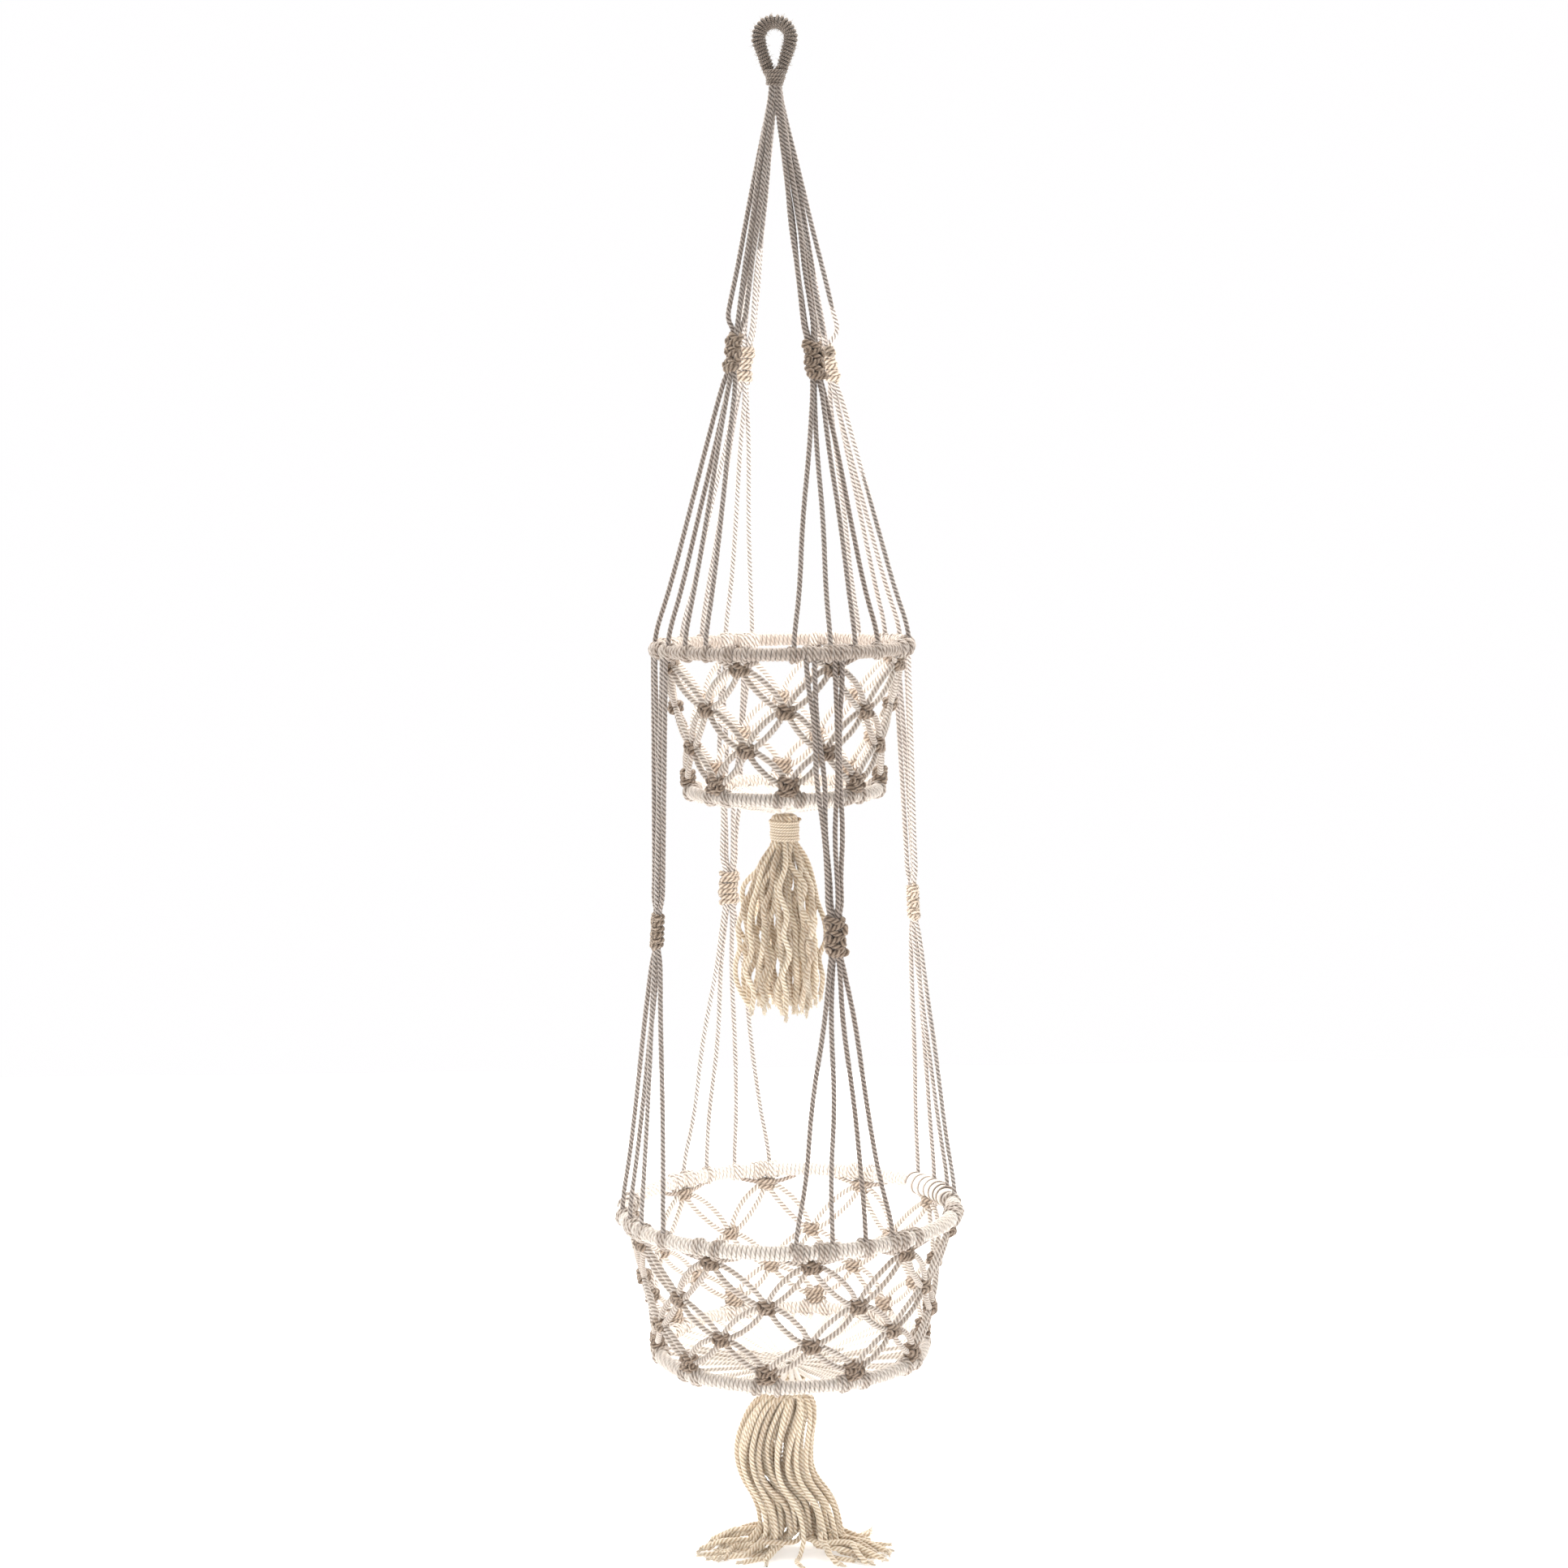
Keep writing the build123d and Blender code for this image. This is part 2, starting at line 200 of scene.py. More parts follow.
def make_light():
    """A pale studio: white all round, soft light from both sides behind and from above, and weak
    fills inside the planter that light the far side of the nets."""
    for light in LIGHTS:
        area_light(*light)
    world = bpy.data.worlds.new("studio")
    world.use_nodes = True
    bpy.context.scene.world = world
    nodes, links = world.node_tree.nodes, world.node_tree.links
    nodes.clear()
    out = nodes.new("ShaderNodeOutputWorld")
    mix = nodes.new("ShaderNodeMixShader")
    path = nodes.new("ShaderNodeLightPath")
    ambient = nodes.new("ShaderNodeBackground")
    shown = nodes.new("ShaderNodeBackground")
    set_inputs(ambient, {"Color": (1.0, 0.99, 0.97, 1), "Strength": 0.34})
    set_inputs(shown, {"Color": (1.0, 0.995, 1.0, 1), "Strength": 1.0})
    links.new(path.outputs["Is Camera Ray"], mix.inputs["Fac"])
    links.new(ambient.outputs[0], mix.inputs[1])
    links.new(shown.outputs[0], mix.inputs[2])
    links.new(mix.outputs[0], out.inputs["Surface"])
    bpy.context.scene.view_settings.view_transform = "Standard"


# ---- Places ----
def facing(azimuth):
    """The outward and the sideways direction at an azimuth."""
    angle = math.radians(azimuth)
    outward = np.array((math.cos(angle), math.sin(angle), 0))
    return outward, np.array((-math.sin(angle), math.cos(angle), 0))


def polar(radius, azimuth, z):
    angle = math.radians(azimuth)
    return np.array((radius * math.cos(angle), radius * math.sin(angle), z))


def on_wall(radius, azimuth, z, out, along, up):
    """A point given from a place on a basket's wall: outwards, along the wall and up."""
    outward, sideways = facing(azimuth)
    return polar(radius, azimuth, z) + outward * out + sideways * along + np.array((0, 0, up))


def box_mm(node):
    return tuple(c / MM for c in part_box(node))


def hoop_ring(name):
    """The radius of a hoop's wire, and the ring's radius and height."""
    low, high = box_mm(f"{name}_wire")
    wire_r = (high.z - low.z) / 2
    return wire_r, (high.x - low.x) / 2 - wire_r, (low.z + high.z) / 2


def node_ring(node):
    """The mean radius and the middle height of a ring of CAD solids, in millimetres."""
    low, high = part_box(node)
    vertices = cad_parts[node].data.vertices
    radii = [math.hypot(v.co.x, v.co.y) for v in vertices]
    return sum(radii) / len(radii) / MM, (low.z + high.z) / 2 / MM


# ---- Lines ----
def smooth_line(points, per_run=10):
    """A Catmull-Rom line through the points."""
    points = np.asarray(points, float)
    padded = np.vstack((2 * points[0] - points[1], points, 2 * points[-1] - points[-2]))
    steps = np.linspace(0, 1, per_run, endpoint=False)[:, None]
    line = []
    for a, b, c, d in zip(padded[:-3], padded[1:-2], padded[2:-1], padded[3:]):
        cubic = 2 * b + (c - a) * steps + (2 * a - 5 * b + 4 * c - d) * steps ** 2
        line.append((cubic + (3 * b - a - 3 * c + d) * steps ** 3) / 2)
    return np.vstack(line + [points[-1:]])


def bezier_line(start, start_pull, end, end_pull, count=24):
    t = np.linspace(0, 1, count)[:, None]
    b = start + start_pull
    c = end + end_pull
    near = start * (1 - t) ** 3 + 3 * b * t * (1 - t) ** 2
    return near + 3 * c * t ** 2 * (1 - t) + end * t ** 3


def route_line(points):
    """The smooth line of a cord's route: a NURBS spline with the route's points as its controls."""
    curve = bpy.data.curves.new("route", "CURVE")
    curve.dimensions = "3D"
    spline = curve.splines.new("NURBS")
    spline.points.add(len(points) - 1)
    for point, place in zip(spline.points, points):
        point.co = (*(float(c) * MM for c in place), 1.0)
    spline.order_u = 3
    spline.use_endpoint_u = True
    spline.resolution_u = 16
    holder = bpy.data.objects.new("route", curve)
    mesh = bpy.data.meshes.new_from_object(holder)
    line = np.array([v.co for v in mesh.vertices], float) / MM
    bpy.data.meshes.remove(mesh)
    bpy.data.objects.remove(holder)
    bpy.data.curves.remove(curve)
    return line


def even_line(line, step):
    """The line at even steps of its length. Columns after the third are carried with it."""
    line = np.asarray(line, float)
    lengths = np.linalg.norm(np.diff(line[:, :3], axis=0), axis=1)
    line = line[np.concatenate(([True], lengths > 1e-6))]
    lengths = np.linalg.norm(np.diff(line[:, :3], axis=0), axis=1)
    along = np.concatenate(([0], np.cumsum(lengths)))
    count = max(3, int(round(along[-1] / step)) + 1)
    places = np.linspace(0, along[-1], count)
    return np.column_stack([np.interp(places, along, column) for column in line.T]), places


def line_frames(line, normal=None):
    """Tangents, and normals carried along the line without twist."""
    tangents = np.gradient(line, axis=0)
    tangents /= np.linalg.norm(tangents, axis=1)[:, None]
    if normal is None:
        guess = np.array((0, 0, 1.0)) if abs(tangents[0][2]) < 0.9 else np.array((1.0, 0, 0))
        current = guess - tangents[0] * guess.dot(tangents[0])
        current /= np.linalg.norm(current)
        normals = np.empty_like(line)
        for i, tangent in enumerate(tangents):
            current = current - tangent * current.dot(tangent)
            current /= math.sqrt(current.dot(current))
            normals[i] = current
    else:
        normals = normal - tangents * np.sum(normal * tangents, axis=1)[:, None]
        normals /= np.linalg.norm(normals, axis=1)[:, None]
    return tangents, normals, np.cross(tangents, normals)


# ---- Rope meshes ----
class Mesh:
    """Collects rope tubes, with the coordinates that the cotton material reads."""

    def __init__(self):
        self.places = []
        self.faces = []
        self.fibre = []
        self.groove_shade = []
        self.tone_and_shade = []
        self.total = 0

    def tube(self, line, radius=PLY_R, lay=CORD_LAY, tone_and_shade=0.5, phase=0.0, step=RING_STEP,
             points=RING_POINTS, lobes=3, depth=PLY_DEPTH, ends=(1.0, 1.0), flat=None,
             normals=None):
        """One twisted cord. A wound cord takes the normals of what it is wound on, which set the
        painted shade on its inner side, and a flattened one takes (half thickness, half width)."""
        if normals is None:
            line, along = even_line(line, step)
            _, side, other = line_frames(line)
        else:
            table, along = even_line(np.column_stack((line, normals)), step)
            line = table[:, :3]
            _, side, other = line_frames(line, table[:, 3:])
        count = len(line)
        theta = np.arange(points) * 2 * math.pi / points
        crest = np.abs(np.cos(theta * lobes / 2)) ** 0.6 if lobes else np.ones(points)
        profile = 1 - depth + depth * crest
        turn = 2 * math.pi * along / lay + phase if lay else np.zeros(count) + phase
        angle = theta[None, :] - turn[:, None]  # the plies run from upper left to lower right
        taper = np.ones(count)
        taper[0] = ends[0]
        taper[-1] = ends[1]
        reach = profile[None, :] * taper[:, None]
        thick, wide = (radius, radius) if flat is None else flat
        across = (np.cos(angle) * reach)[:, :, None] * side[:, None, :] * thick
        beside = (np.sin(angle) * reach)[:, :, None] * other[:, None, :] * wide
        self.places.append((line[:, None, :] + across + beside).reshape(-1, 3))
        spread = np.stack((np.cos(angle) * radius, np.sin(angle) * radius,
                           np.repeat(along[:, None], points, 1)), axis=2)
        self.fibre.append(spread.reshape(-1, 3) + np.array((0, 0, tone_and_shade * 977.0)))
        # Painted shade: darker in the grooves between the plies, and on a wound cord's inner side,
        # which faces what it is wound on.
        seat_shade = 1.0 if normals is None else 0.1 + 0.9 * np.clip(0.35 + 0.85 * np.cos(angle), 0, 1)
        shade = 1 - (1 - crest ** 2.4) * min(1.0, depth / 0.3)
        self.groove_shade.append((shade[None, :] * np.ones((count, 1)) * seat_shade).ravel())
        # Each cord's paleness, part random and part painted light and shade.
        self.tone_and_shade.append(np.full(count * points, tone_and_shade))
        i = np.arange(count - 1)[:, None] * points
        j = np.arange(points)[None, :]
        k = (j + 1) % points
        quads = np.stack((i + j, i + k, i + points + k, i + points + j), axis=2).reshape(-1, 4)
        self.faces.append((quads + self.total, points, count, self.total))
        self.total += count * points

    def build(self, name, material):
        places = np.vstack(self.places) * MM
        quads = np.vstack([f[0] for f in self.faces])
        caps = []
        for _, points, count, base in self.faces:
            ring = np.arange(points)
            caps.append((base + ring[::-1]).tolist())
            caps.append((base + (count - 1) * points + ring).tolist())
        loops = np.concatenate([quads.ravel()] + [np.array(c) for c in caps])
        sizes = np.concatenate((np.full(len(quads), 4), np.array([len(c) for c in caps])))
        starts = np.concatenate(([0], np.cumsum(sizes)[:-1]))
        mesh = bpy.data.meshes.new(name)
        mesh.vertices.add(len(places))
        mesh.vertices.foreach_set("co", places.astype(np.float32).ravel())
        mesh.loops.add(len(loops))
        mesh.loops.foreach_set("vertex_index", loops.astype(np.int32))
        mesh.polygons.add(len(sizes))
        mesh.polygons.foreach_set("loop_start", starts.astype(np.int32))
        mesh.polygons.foreach_set("loop_total", sizes.astype(np.int32))
        mesh.update(calc_edges=True)
        mesh.polygons.foreach_set("use_smooth", np.ones(len(sizes), bool))
        for label, kind, key, values in (
            ("fibre", "FLOAT_VECTOR", "vector", np.vstack(self.fibre)),
            ("groove_shade", "FLOAT", "value", np.concatenate(self.groove_shade)),
            ("tone_and_shade", "FLOAT", "value", np.concatenate(self.tone_and_shade)),
        ):
            attribute = mesh.attributes.new(label, kind, "POINT")
            attribute.data.foreach_set(key, values.astype(np.float32).ravel())
        mesh.materials.append(material)
        piece = bpy.data.objects.new(name, mesh)
        bpy.context.scene.collection.objects.link(piece)
        return piece


def frayed_end(mesh, line, chance):
    """The plies of a cut end open out into loose yarns."""
    line = np.asarray(line, float)
    tip = line[-1]
    heading = line[-1] - line[-3]
    heading /= np.linalg.norm(heading)
    side = np.cross(heading, (0.3, 0.5, 0.8))
    side /= np.linalg.norm(side)
    other = np.cross(heading, side)
    for yarn in range(END_YARNS):
        angle = yarn * 2.4 + chance.uniform(-0.4, 0.4)
        out = side * math.cos(angle) + other * math.sin(angle)
        spread = 0.25 + 0.75 * (yarn % 3) / 2
        reach = chance.uniform(3.0, 6.5)
        root = tip - heading * 2.0 + out * CORD_R * 0.6 * spread
        middle = tip + heading * reach * 0.45 + out * chance.uniform(0.8, 1.4) * spread
        end = tip + heading * reach + out * chance.uniform(1.0, 2.6) * spread
        mesh.tube(smooth_line([root, middle, end], 5), chance.uniform(0.34, 0.58), lay=5.0,
                  tone_and_shade=chance.uniform(0.6, 1.0), phase=angle, step=1.0, points=6, lobes=2,
                  depth=0.2, ends=(1, 0.6))


# ---- Materials ----
def set_inputs(node, values):
    for label, value in values.items():
        node.inputs[label].default_value = value


def new_material(name, values):
    """A material with these values on its shader, and its nodes, links and shader."""
    material = bpy.data.materials.new(name)
    material.use_nodes = True
    tree = material.node_tree
    shader = tree.nodes["Principled BSDF"]
    set_inputs(shader, values)
    return material, tree.nodes, tree.links, shader


def colour_ramp(nodes, links, value, low, high):
    """A ramp between two stops, each a position and a colour."""
    node = nodes.new("ShaderNodeValToRGB")
    for element, (position, colour) in zip(node.color_ramp.elements, (low, high)):
        element.position = position
        element.color = (*colour, 1)
    links.new(value, node.inputs["Fac"])
    return node.outputs["Color"]


def cotton(name, dark, light, crease_shade):
    """Twisted cotton: fibres run along the cord, plies are paler at their crests with painted shade
    in the grooves between them, and each cord's paleness, part random and part painted light and
    shade, makes it darker or paler."""
    material, nodes, links, shader = new_material(name, {
        "Roughness": 0.92,
        "Specular IOR Level": 0.18,
        "Sheen Weight": 0.25,
        "Sheen Roughness": 0.55,
        "Sheen Tint": (1.0, 0.97, 0.92, 1),
        "Subsurface Weight": 0.2,
        "Subsurface Radius": (1.0, 0.82, 0.62),
        "Subsurface Scale": 0.0012,
    })

    def attribute(label, output):
        node = nodes.new("ShaderNodeAttribute")
        node.attribute_name = label
        return node.outputs[output]

    def noise(vector, stretch, scale, detail):
        mapping = nodes.new("ShaderNodeMapping")
        texture = nodes.new("ShaderNodeTexNoise")
        set_inputs(mapping, {"Scale": stretch})
        set_inputs(texture, {"Scale": scale, "Detail": detail, "Roughness": 0.6})
        links.new(vector, mapping.inputs["Vector"])
        links.new(mapping.outputs[0], texture.inputs["Vector"])
        return texture.outputs["Fac"]

    def darken(colour, value, low, high, amount):
        """The colour multiplied by a ramp over the value."""
        node = nodes.new("ShaderNodeMix")
        node.data_type = "RGBA"
        node.blend_type = "MULTIPLY"
        set_inputs(node, {"Factor": amount})
        links.new(colour, node.inputs["A"])
        links.new(colour_ramp(nodes, links, value, low, high), node.inputs["B"])
        return node.outputs["Result"]

    white = (1.0, 1.0, 1.0)
    fibre = attribute("fibre", "Vector")
    streaks = noise(fibre, (1.0, 1.0, 0.12), 2.6, 4.0)
    blotches = noise(fibre, (0.25, 0.25, 0.05), 1.0, 2.0)
    fluff = noise(fibre, (1.0, 1.0, 0.35), 6.0, 3.0)
    base = colour_ramp(nodes, links, streaks, (0.32, dark), (0.66, light))
    base = darken(base, blotches, (0.3, (0.86, 0.83, 0.79)), (0.7, white), 0.6)
    # Painted shade: the crease colour darkens the grooves between the plies and the inner side of
    # wound cords.
    base = darken(base, attribute("groove_shade", "Fac"), (0.0, crease_shade), (0.95, white), 0.95)
    # Painted light and shade mixed with random variation: each cord's value darkens the front
    # cords, knots and hitches and leaves the back paler.
    base = darken(base, attribute("tone_and_shade", "Fac"), (0.0, (0.56, 0.505, 0.47)), (1.0, white), 1.0)
    links.new(base, shader.inputs["Base Color"])
    height = nodes.new("ShaderNodeMath")
    height.operation = "ADD"
    links.new(streaks, height.inputs[0])
    links.new(fluff, height.inputs[1])
    bump = nodes.new("ShaderNodeBump")
    set_inputs(bump, {"Strength": 0.55, "Distance": 0.0006})
    links.new(height.outputs[0], bump.inputs["Height"])
    links.new(bump.outputs[0], shader.inputs["Normal"])
    return material


def steel():
    """Drawn wire: bright, with a fine grain."""
    material, nodes, links, shader = new_material(
        "hoop_wire_steel", {"Metallic": 1.0, "Roughness": 0.38})
    texture = nodes.new("ShaderNodeTexNoise")
    set_inputs(texture, {"Scale": 900.0})
    coordinates = nodes.new("ShaderNodeTexCoord")
    links.new(coordinates.outputs["Object"], texture.inputs["Vector"])
    colour = colour_ramp(nodes, links, texture.outputs["Fac"],
                         (0.0, (0.42, 0.42, 0.41)), (1.0, (0.66, 0.66, 0.64)))
    links.new(colour, shader.inputs["Base Color"])
    return material


def place_piece(piece, body, slot, *nodes):
    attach(piece, body)
    if nodes:
        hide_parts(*nodes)


# ---- Hanging loop and collar ----
def loop_leg(side):
    """Half of the teardrop's centreline, from its top to its foot, with its tube radius."""
    down = LOOP_ARC_Z - LOOP_FOOT[1]
    reach = math.hypot(LOOP_FOOT[0], down)
    turn = math.atan2(-down, LOOP_FOOT[0]) + math.acos(LOOP_ARC_R / reach)
    arc = [
        (LOOP_ARC_R * math.cos(a), 0, LOOP_ARC_Z + LOOP_ARC_R * math.sin(a))
        for a in np.linspace(math.pi / 2, turn, 30)
    ]
    foot = np.array((LOOP_FOOT[0], 0, LOOP_FOOT[1]))
    arc_end = np.array(arc[-1])
    leg = [arc_end + (foot - arc_end) * t for t in np.linspace(0.05, 1, 20)]
    line, along = even_line(np.array(arc + leg) * np.array((side, 1, 1)), 0.25)
    arc_share = LOOP_ARC_R * (math.pi / 2 - turn) / along[-1]
    share = np.clip((along / along[-1] - arc_share) / (1 - arc_share), 0, 1)
    return line, along, LOOP_TUBE_R[0] + (LOOP_TUBE_R[1] - LOOP_TUBE_R[0]) * share


def make_loop(material):
    wrap = Mesh()
    chance = random.Random(3)
    for side in (1, -1):
        line, along, tube = loop_leg(side)
        tangents, _, _ = line_frames(line)
        across = np.tile((0.0, 1.0, 0.0), (len(line), 1))
        outward = np.cross(tangents, across)
        turns = along[-1] / (2 * FINE_R * 0.98)
        fine, places = even_line(line, along[-1] / (turns * 26))
        outward = np.column_stack([np.interp(places, along, column) for column in outward.T])
        reach = np.interp(places, along, tube) - FINE_R
        wobble = np.array([chance.uniform(-0.3, 0.3) for _ in range(int(turns) + 3)])
        angle = side * 2 * math.pi * turns * places / along[-1] + math.pi / 2
        reach = reach + np.interp(places / along[-1] * turns, np.arange(len(wobble)), wobble)
        normals = outward * np.cos(angle)[:, None]
        normals[:, 1] += np.sin(angle)
        coil = fine + normals * reach[:, None]
        inside = places > 0.25
        wrap.tube(coil[inside], FINE_R, lay=4.2, tone_and_shade=0.3 + 0.1 * side, step=0.7, points=9,
                  depth=0.32, normals=normals[inside])
        for _ in range(LOOP_HAIRS):
            k = chance.randrange(8, len(coil) - 8)
            root = fine[k] + normals[k] * (reach[k] + FINE_R * 0.8)
            lean = np.array([chance.uniform(-1, 1) for _ in range(3)])
            tip = root + normals[k] * chance.uniform(0.6, 1.8) + lean * 1.6
            bend = (root + tip) / 2 + np.array([chance.uniform(-0.4, 0.4) for _ in range(3)])
            wrap.tube(smooth_line([root, bend, tip], 3), 0.09, lay=0, tone_and_shade=0.9, step=0.8, points=3,
                      lobes=0, depth=0.0, ends=(1, 0.4))
    piece = wrap.build("loop_wrapping", material)
    place_piece(piece, "hanging_loop", "loop_cotton", "loop_wrap")

    collar = Mesh()
    low, high = box_mm("gather_collar")
    height = high.z - low.z
    places = np.linspace(0, 1, COLLAR_TURNS * 40)
    angle = places * COLLAR_TURNS * 2 * math.pi
    reach = high.x + 0.9 - 2.2 * places + 0.4 * np.sin(places * 23)
    normals = np.column_stack((np.cos(angle), np.sin(angle), np.zeros(len(angle))))
    coil = normals * reach[:, None]
    coil[:, 2] = high.z + 0.5 - places * (height - 1.5) + 0.5 * np.sin(angle + 0.6)
    collar.tube(coil, tone_and_shade=0.35, normals=normals, **COLLAR_CORD)
    tuck = smooth_line([coil[0], (3.5, -4.0, high.z + 2.2), (0.4, -4.6, high.z - 0.6)], 8)
    collar.tube(tuck, tone_and_shade=0.4, **COLLAR_CORD)
    piece = collar.build("collar_wrapping", material)
    place_piece(piece, "hanging_loop", "loop_cotton", "gather_collar")


# ---- The thirty-two long cords ----
def sinnet_place(kind, index):
    """Radius, azimuth and top and foot heights of a sinnet, from its CAD box."""
    low, high = box_mm(f"{kind}_sinnet_{index + 1}")
    middle = (low + high) / 2
    azimuth = math.degrees(math.atan2(middle.y, middle.x))
    return math.hypot(middle.x, middle.y), azimuth, high.z, low.z


def through_sinnet(kind, index, place, cord):
    """Route points down into a sinnet, through its core and out at its foot. A loose cord bows
    outwards before it goes in."""
    radius, azimuth, top, foot = place
    lean = SINNET_LEAN[kind]
    loose = LOOSE_CORDS.get((kind, index, cord), 0.0)
    middle = (top + foot) / 2
    wide, deep = STRAND_SPOTS[cord]
    along, out = SINNET_CORE[cord]
    along *= SINNET_SIZE[kind][index][0] / CORE_WIDTH
    spots = (
        (deep + loose * 0.8, wide, top + 24.0), (deep + loose, wide * 1.1, top + 9.0),
        (out, along * 1.2, top + 1.0),
        (out, along, top - 7.0), (out, along, foot + 7.0), (out, along * 1.2, foot - 0.5),
        (deep, wide * 1.05, foot - 9.0),
    )
    return [on_wall(radius - lean * (z - middle), azimuth, z, o, a, 0) for o, a, z in spots]


def free_run(start, end, waves, azimuth, parts):
    """Points of a hanging run that is nearly straight, with small waves along and off the wall."""
    out, side = facing(azimuth)
    return [
        start + (end - start) * part + side * wave + out * wave * 0.4
        for part, wave in zip(parts, waves)
    ]


def declare_cord(name, points, material, tone_and_shade, phase, body=None,
                 nodes=()):
    """A free cord. It rides on one body, or, when none is given, has its transform baked into its
    mesh."""
    line = route_line(points)
    mesh = Mesh()
    mesh.tube(line, tone_and_shade=tone_and_shade, phase=phase)
    piece = mesh.build(name, material)
    if body:
        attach(piece, body)
    else:
        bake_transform(piece)
    if nodes:
        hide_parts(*nodes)
    return line


def upper_start(cord, azimuth):
    """From the collar down the neck of the bundle: the first points, and the top of the blend."""
    collar_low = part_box("gather_collar")[0].z / MM
    out, along = ((0, -2.4), (-2.4, 0), (2.4, 0), (0, 2.4))[cord]
    return [
        on_wall(2.3, azimuth, collar_low, out * 0.5, along * 0.5, 5.0),
        on_wall(2.9, azimuth, collar_low, out * 0.55, along * 0.6, -5.0),
        on_wall(8.2, azimuth, collar_low - 26, out * 0.8, along, 0),
    ], collar_low


def lower_start(cord, azimuth):
    """From the upper hoop down: the first points, and the top of the blend."""
    upper_z = node_ring("upper_hoop_wire")[1]
    return [
        polar(LOWER_START_R, azimuth + LOWER_STRAND_STEPS[cord], upper_z - 3.5),
        polar(LOWER_START_R + 0.2, azimuth + LOWER_STRAND_STEPS[cord], upper_z - 16.0),
    ], upper_z - 4


# For each kind of group: the hoop that its cords reach and their azimuths there, their waves, the
# bodies at their ends, the parts of the two hanging runs at which they wave, how far outside the
# wire and above it they arrive, and how far above the sinnet the blend ends
LONG_CORDS = {
    "upper": ("upper_hoop", UPPER_FAN_AZ, UPPER_WAVES, ("hanging_loop", "upper_tier"),
              (0.3, 0.56, 0.8), (0.22, 0.5, 0.78), (1.2, 1.5, 3.2), 12),
    "mid": ("lower_hoop", LOWER_FAN_AZ, LOWER_WAVES, ("upper_tier", "lower_tier"),
            (0.3, 0.55, 0.78), (0.2, 0.48, 0.76), (2.2, 2.0, 3.0), 14),
}


def make_long_cords(kind, tier, material, seed):
    chance = random.Random(seed)
    hoop, fans, all_waves, bodies, above, below, arrival, blend_rise = LONG_CORDS[kind]
    hoop_r, hoop_z = node_ring(f"{hoop}_wire")
    approach, rest, rise = arrival
    for group in range(4):
        place = sinnet_place(kind, group)
        azimuth = place[1]
        for cord in range(4):
            fan = fans[group][cord]
            waves = all_waves[(group + cord) % 4]
            if kind == "upper":
                start, blend_top = upper_start(cord, azimuth)
                origin = start[-1]
            else:
                start, blend_top = lower_start(cord, LOWER_START_AZ[group])
                origin = start[0]
            inlet = through_sinnet(kind, group, place, cord)
            landing = polar(hoop_r + rest, fan, hoop_z + rise)
            points = [
                *start,
                *free_run(origin, inlet[0], waves, azimuth, above),
                *inlet,
                *free_run(inlet[-1], landing, waves[::-1], fan, below),
                polar(hoop_r + approach, fan, hoop_z + 12.0),
                landing,
            ]
            nodes = [f"{tier}_strands_{group + 1}", f"{tier}_fan_{group + 1}"]
            if kind == "upper":
                nodes.append("neck_bundle")
            # Painted shade: each group's paleness makes the front groups darker than the back ones.
            declare_cord(
                f"{tier}_cord_{group + 1}_{cord + 1}", points, material,
                GROUP_PAINTED_SHADE[kind][group] + chance.uniform(0, 0.25),
                chance.uniform(0, FULL_TURN),
                nodes=nodes,
            )


# ---- Square knots ----
def knot_lines(heights, rise, half_width, depth, chance):
    """Two working cords tied round a core: one always passes in front, the other behind.
    Points are (out, along, up) from the knot's middle; the front faces outwards."""
    front = []
    back = []
    for k, z in enumerate(heights):
        side = -1 if k % 2 == 0 else 1
        j = [chance.uniform(-0.4, 0.4) for _ in range(6)]
        front += [
            (-0.10 * depth, side * half_width * 0.92, z + rise * 0.50),
            (0.66 * depth + j[0], side * half_width * 0.78, z + rise * 0.36),
            (depth + j[1], side * half_width * 0.28, z + rise * 0.16),
            (depth + j[2], -side * half_width * 0.34, z - rise * 0.14),
            (0.55 * depth, -side * half_width * 0.80, z - rise * 0.34),
        ]
        back += [
            (0.92 * depth, -side * half_width * 0.98, z + rise * 0.26),
            (0.10, -side * half_width * 1.12, z + rise * 0.02),
            (-depth + j[3], -side * half_width * 0.45, z - rise * 0.04),
            (-depth + j[4], side * half_width * 0.45, z + rise * 0.04),
            (0.05, side * half_width * 1.12, z - rise * 0.05),
            (0.90 * depth, side * half_width * 1.0, z - rise * 0.30),
        ]
    side = 1 if len(heights) % 2 == 0 else -1
    front.append((-0.2 * depth, -side * half_width * 0.8, heights[-1] - rise * 0.50))
    back.append((0.1 * depth, -side * half_width * 0.7, heights[-1] - rise * 0.62))
    return smooth_line(front, 7), smooth_line(back, 7)


def wall_points(local, radius, azimuth, z, turn=0.0):
    """Points (out, along, up) about a place on a wall, with their facing turned from the radius."""
    outward, sideways = facing(azimuth + turn)
    local = np.asarray(local, float)
    up = np.array((0, 0, 1.0))
    return (polar(radius, azimuth, z) + local[:, 0:1] * outward + local[:, 1:2] * sideways
            + local[:, 2:3] * up)


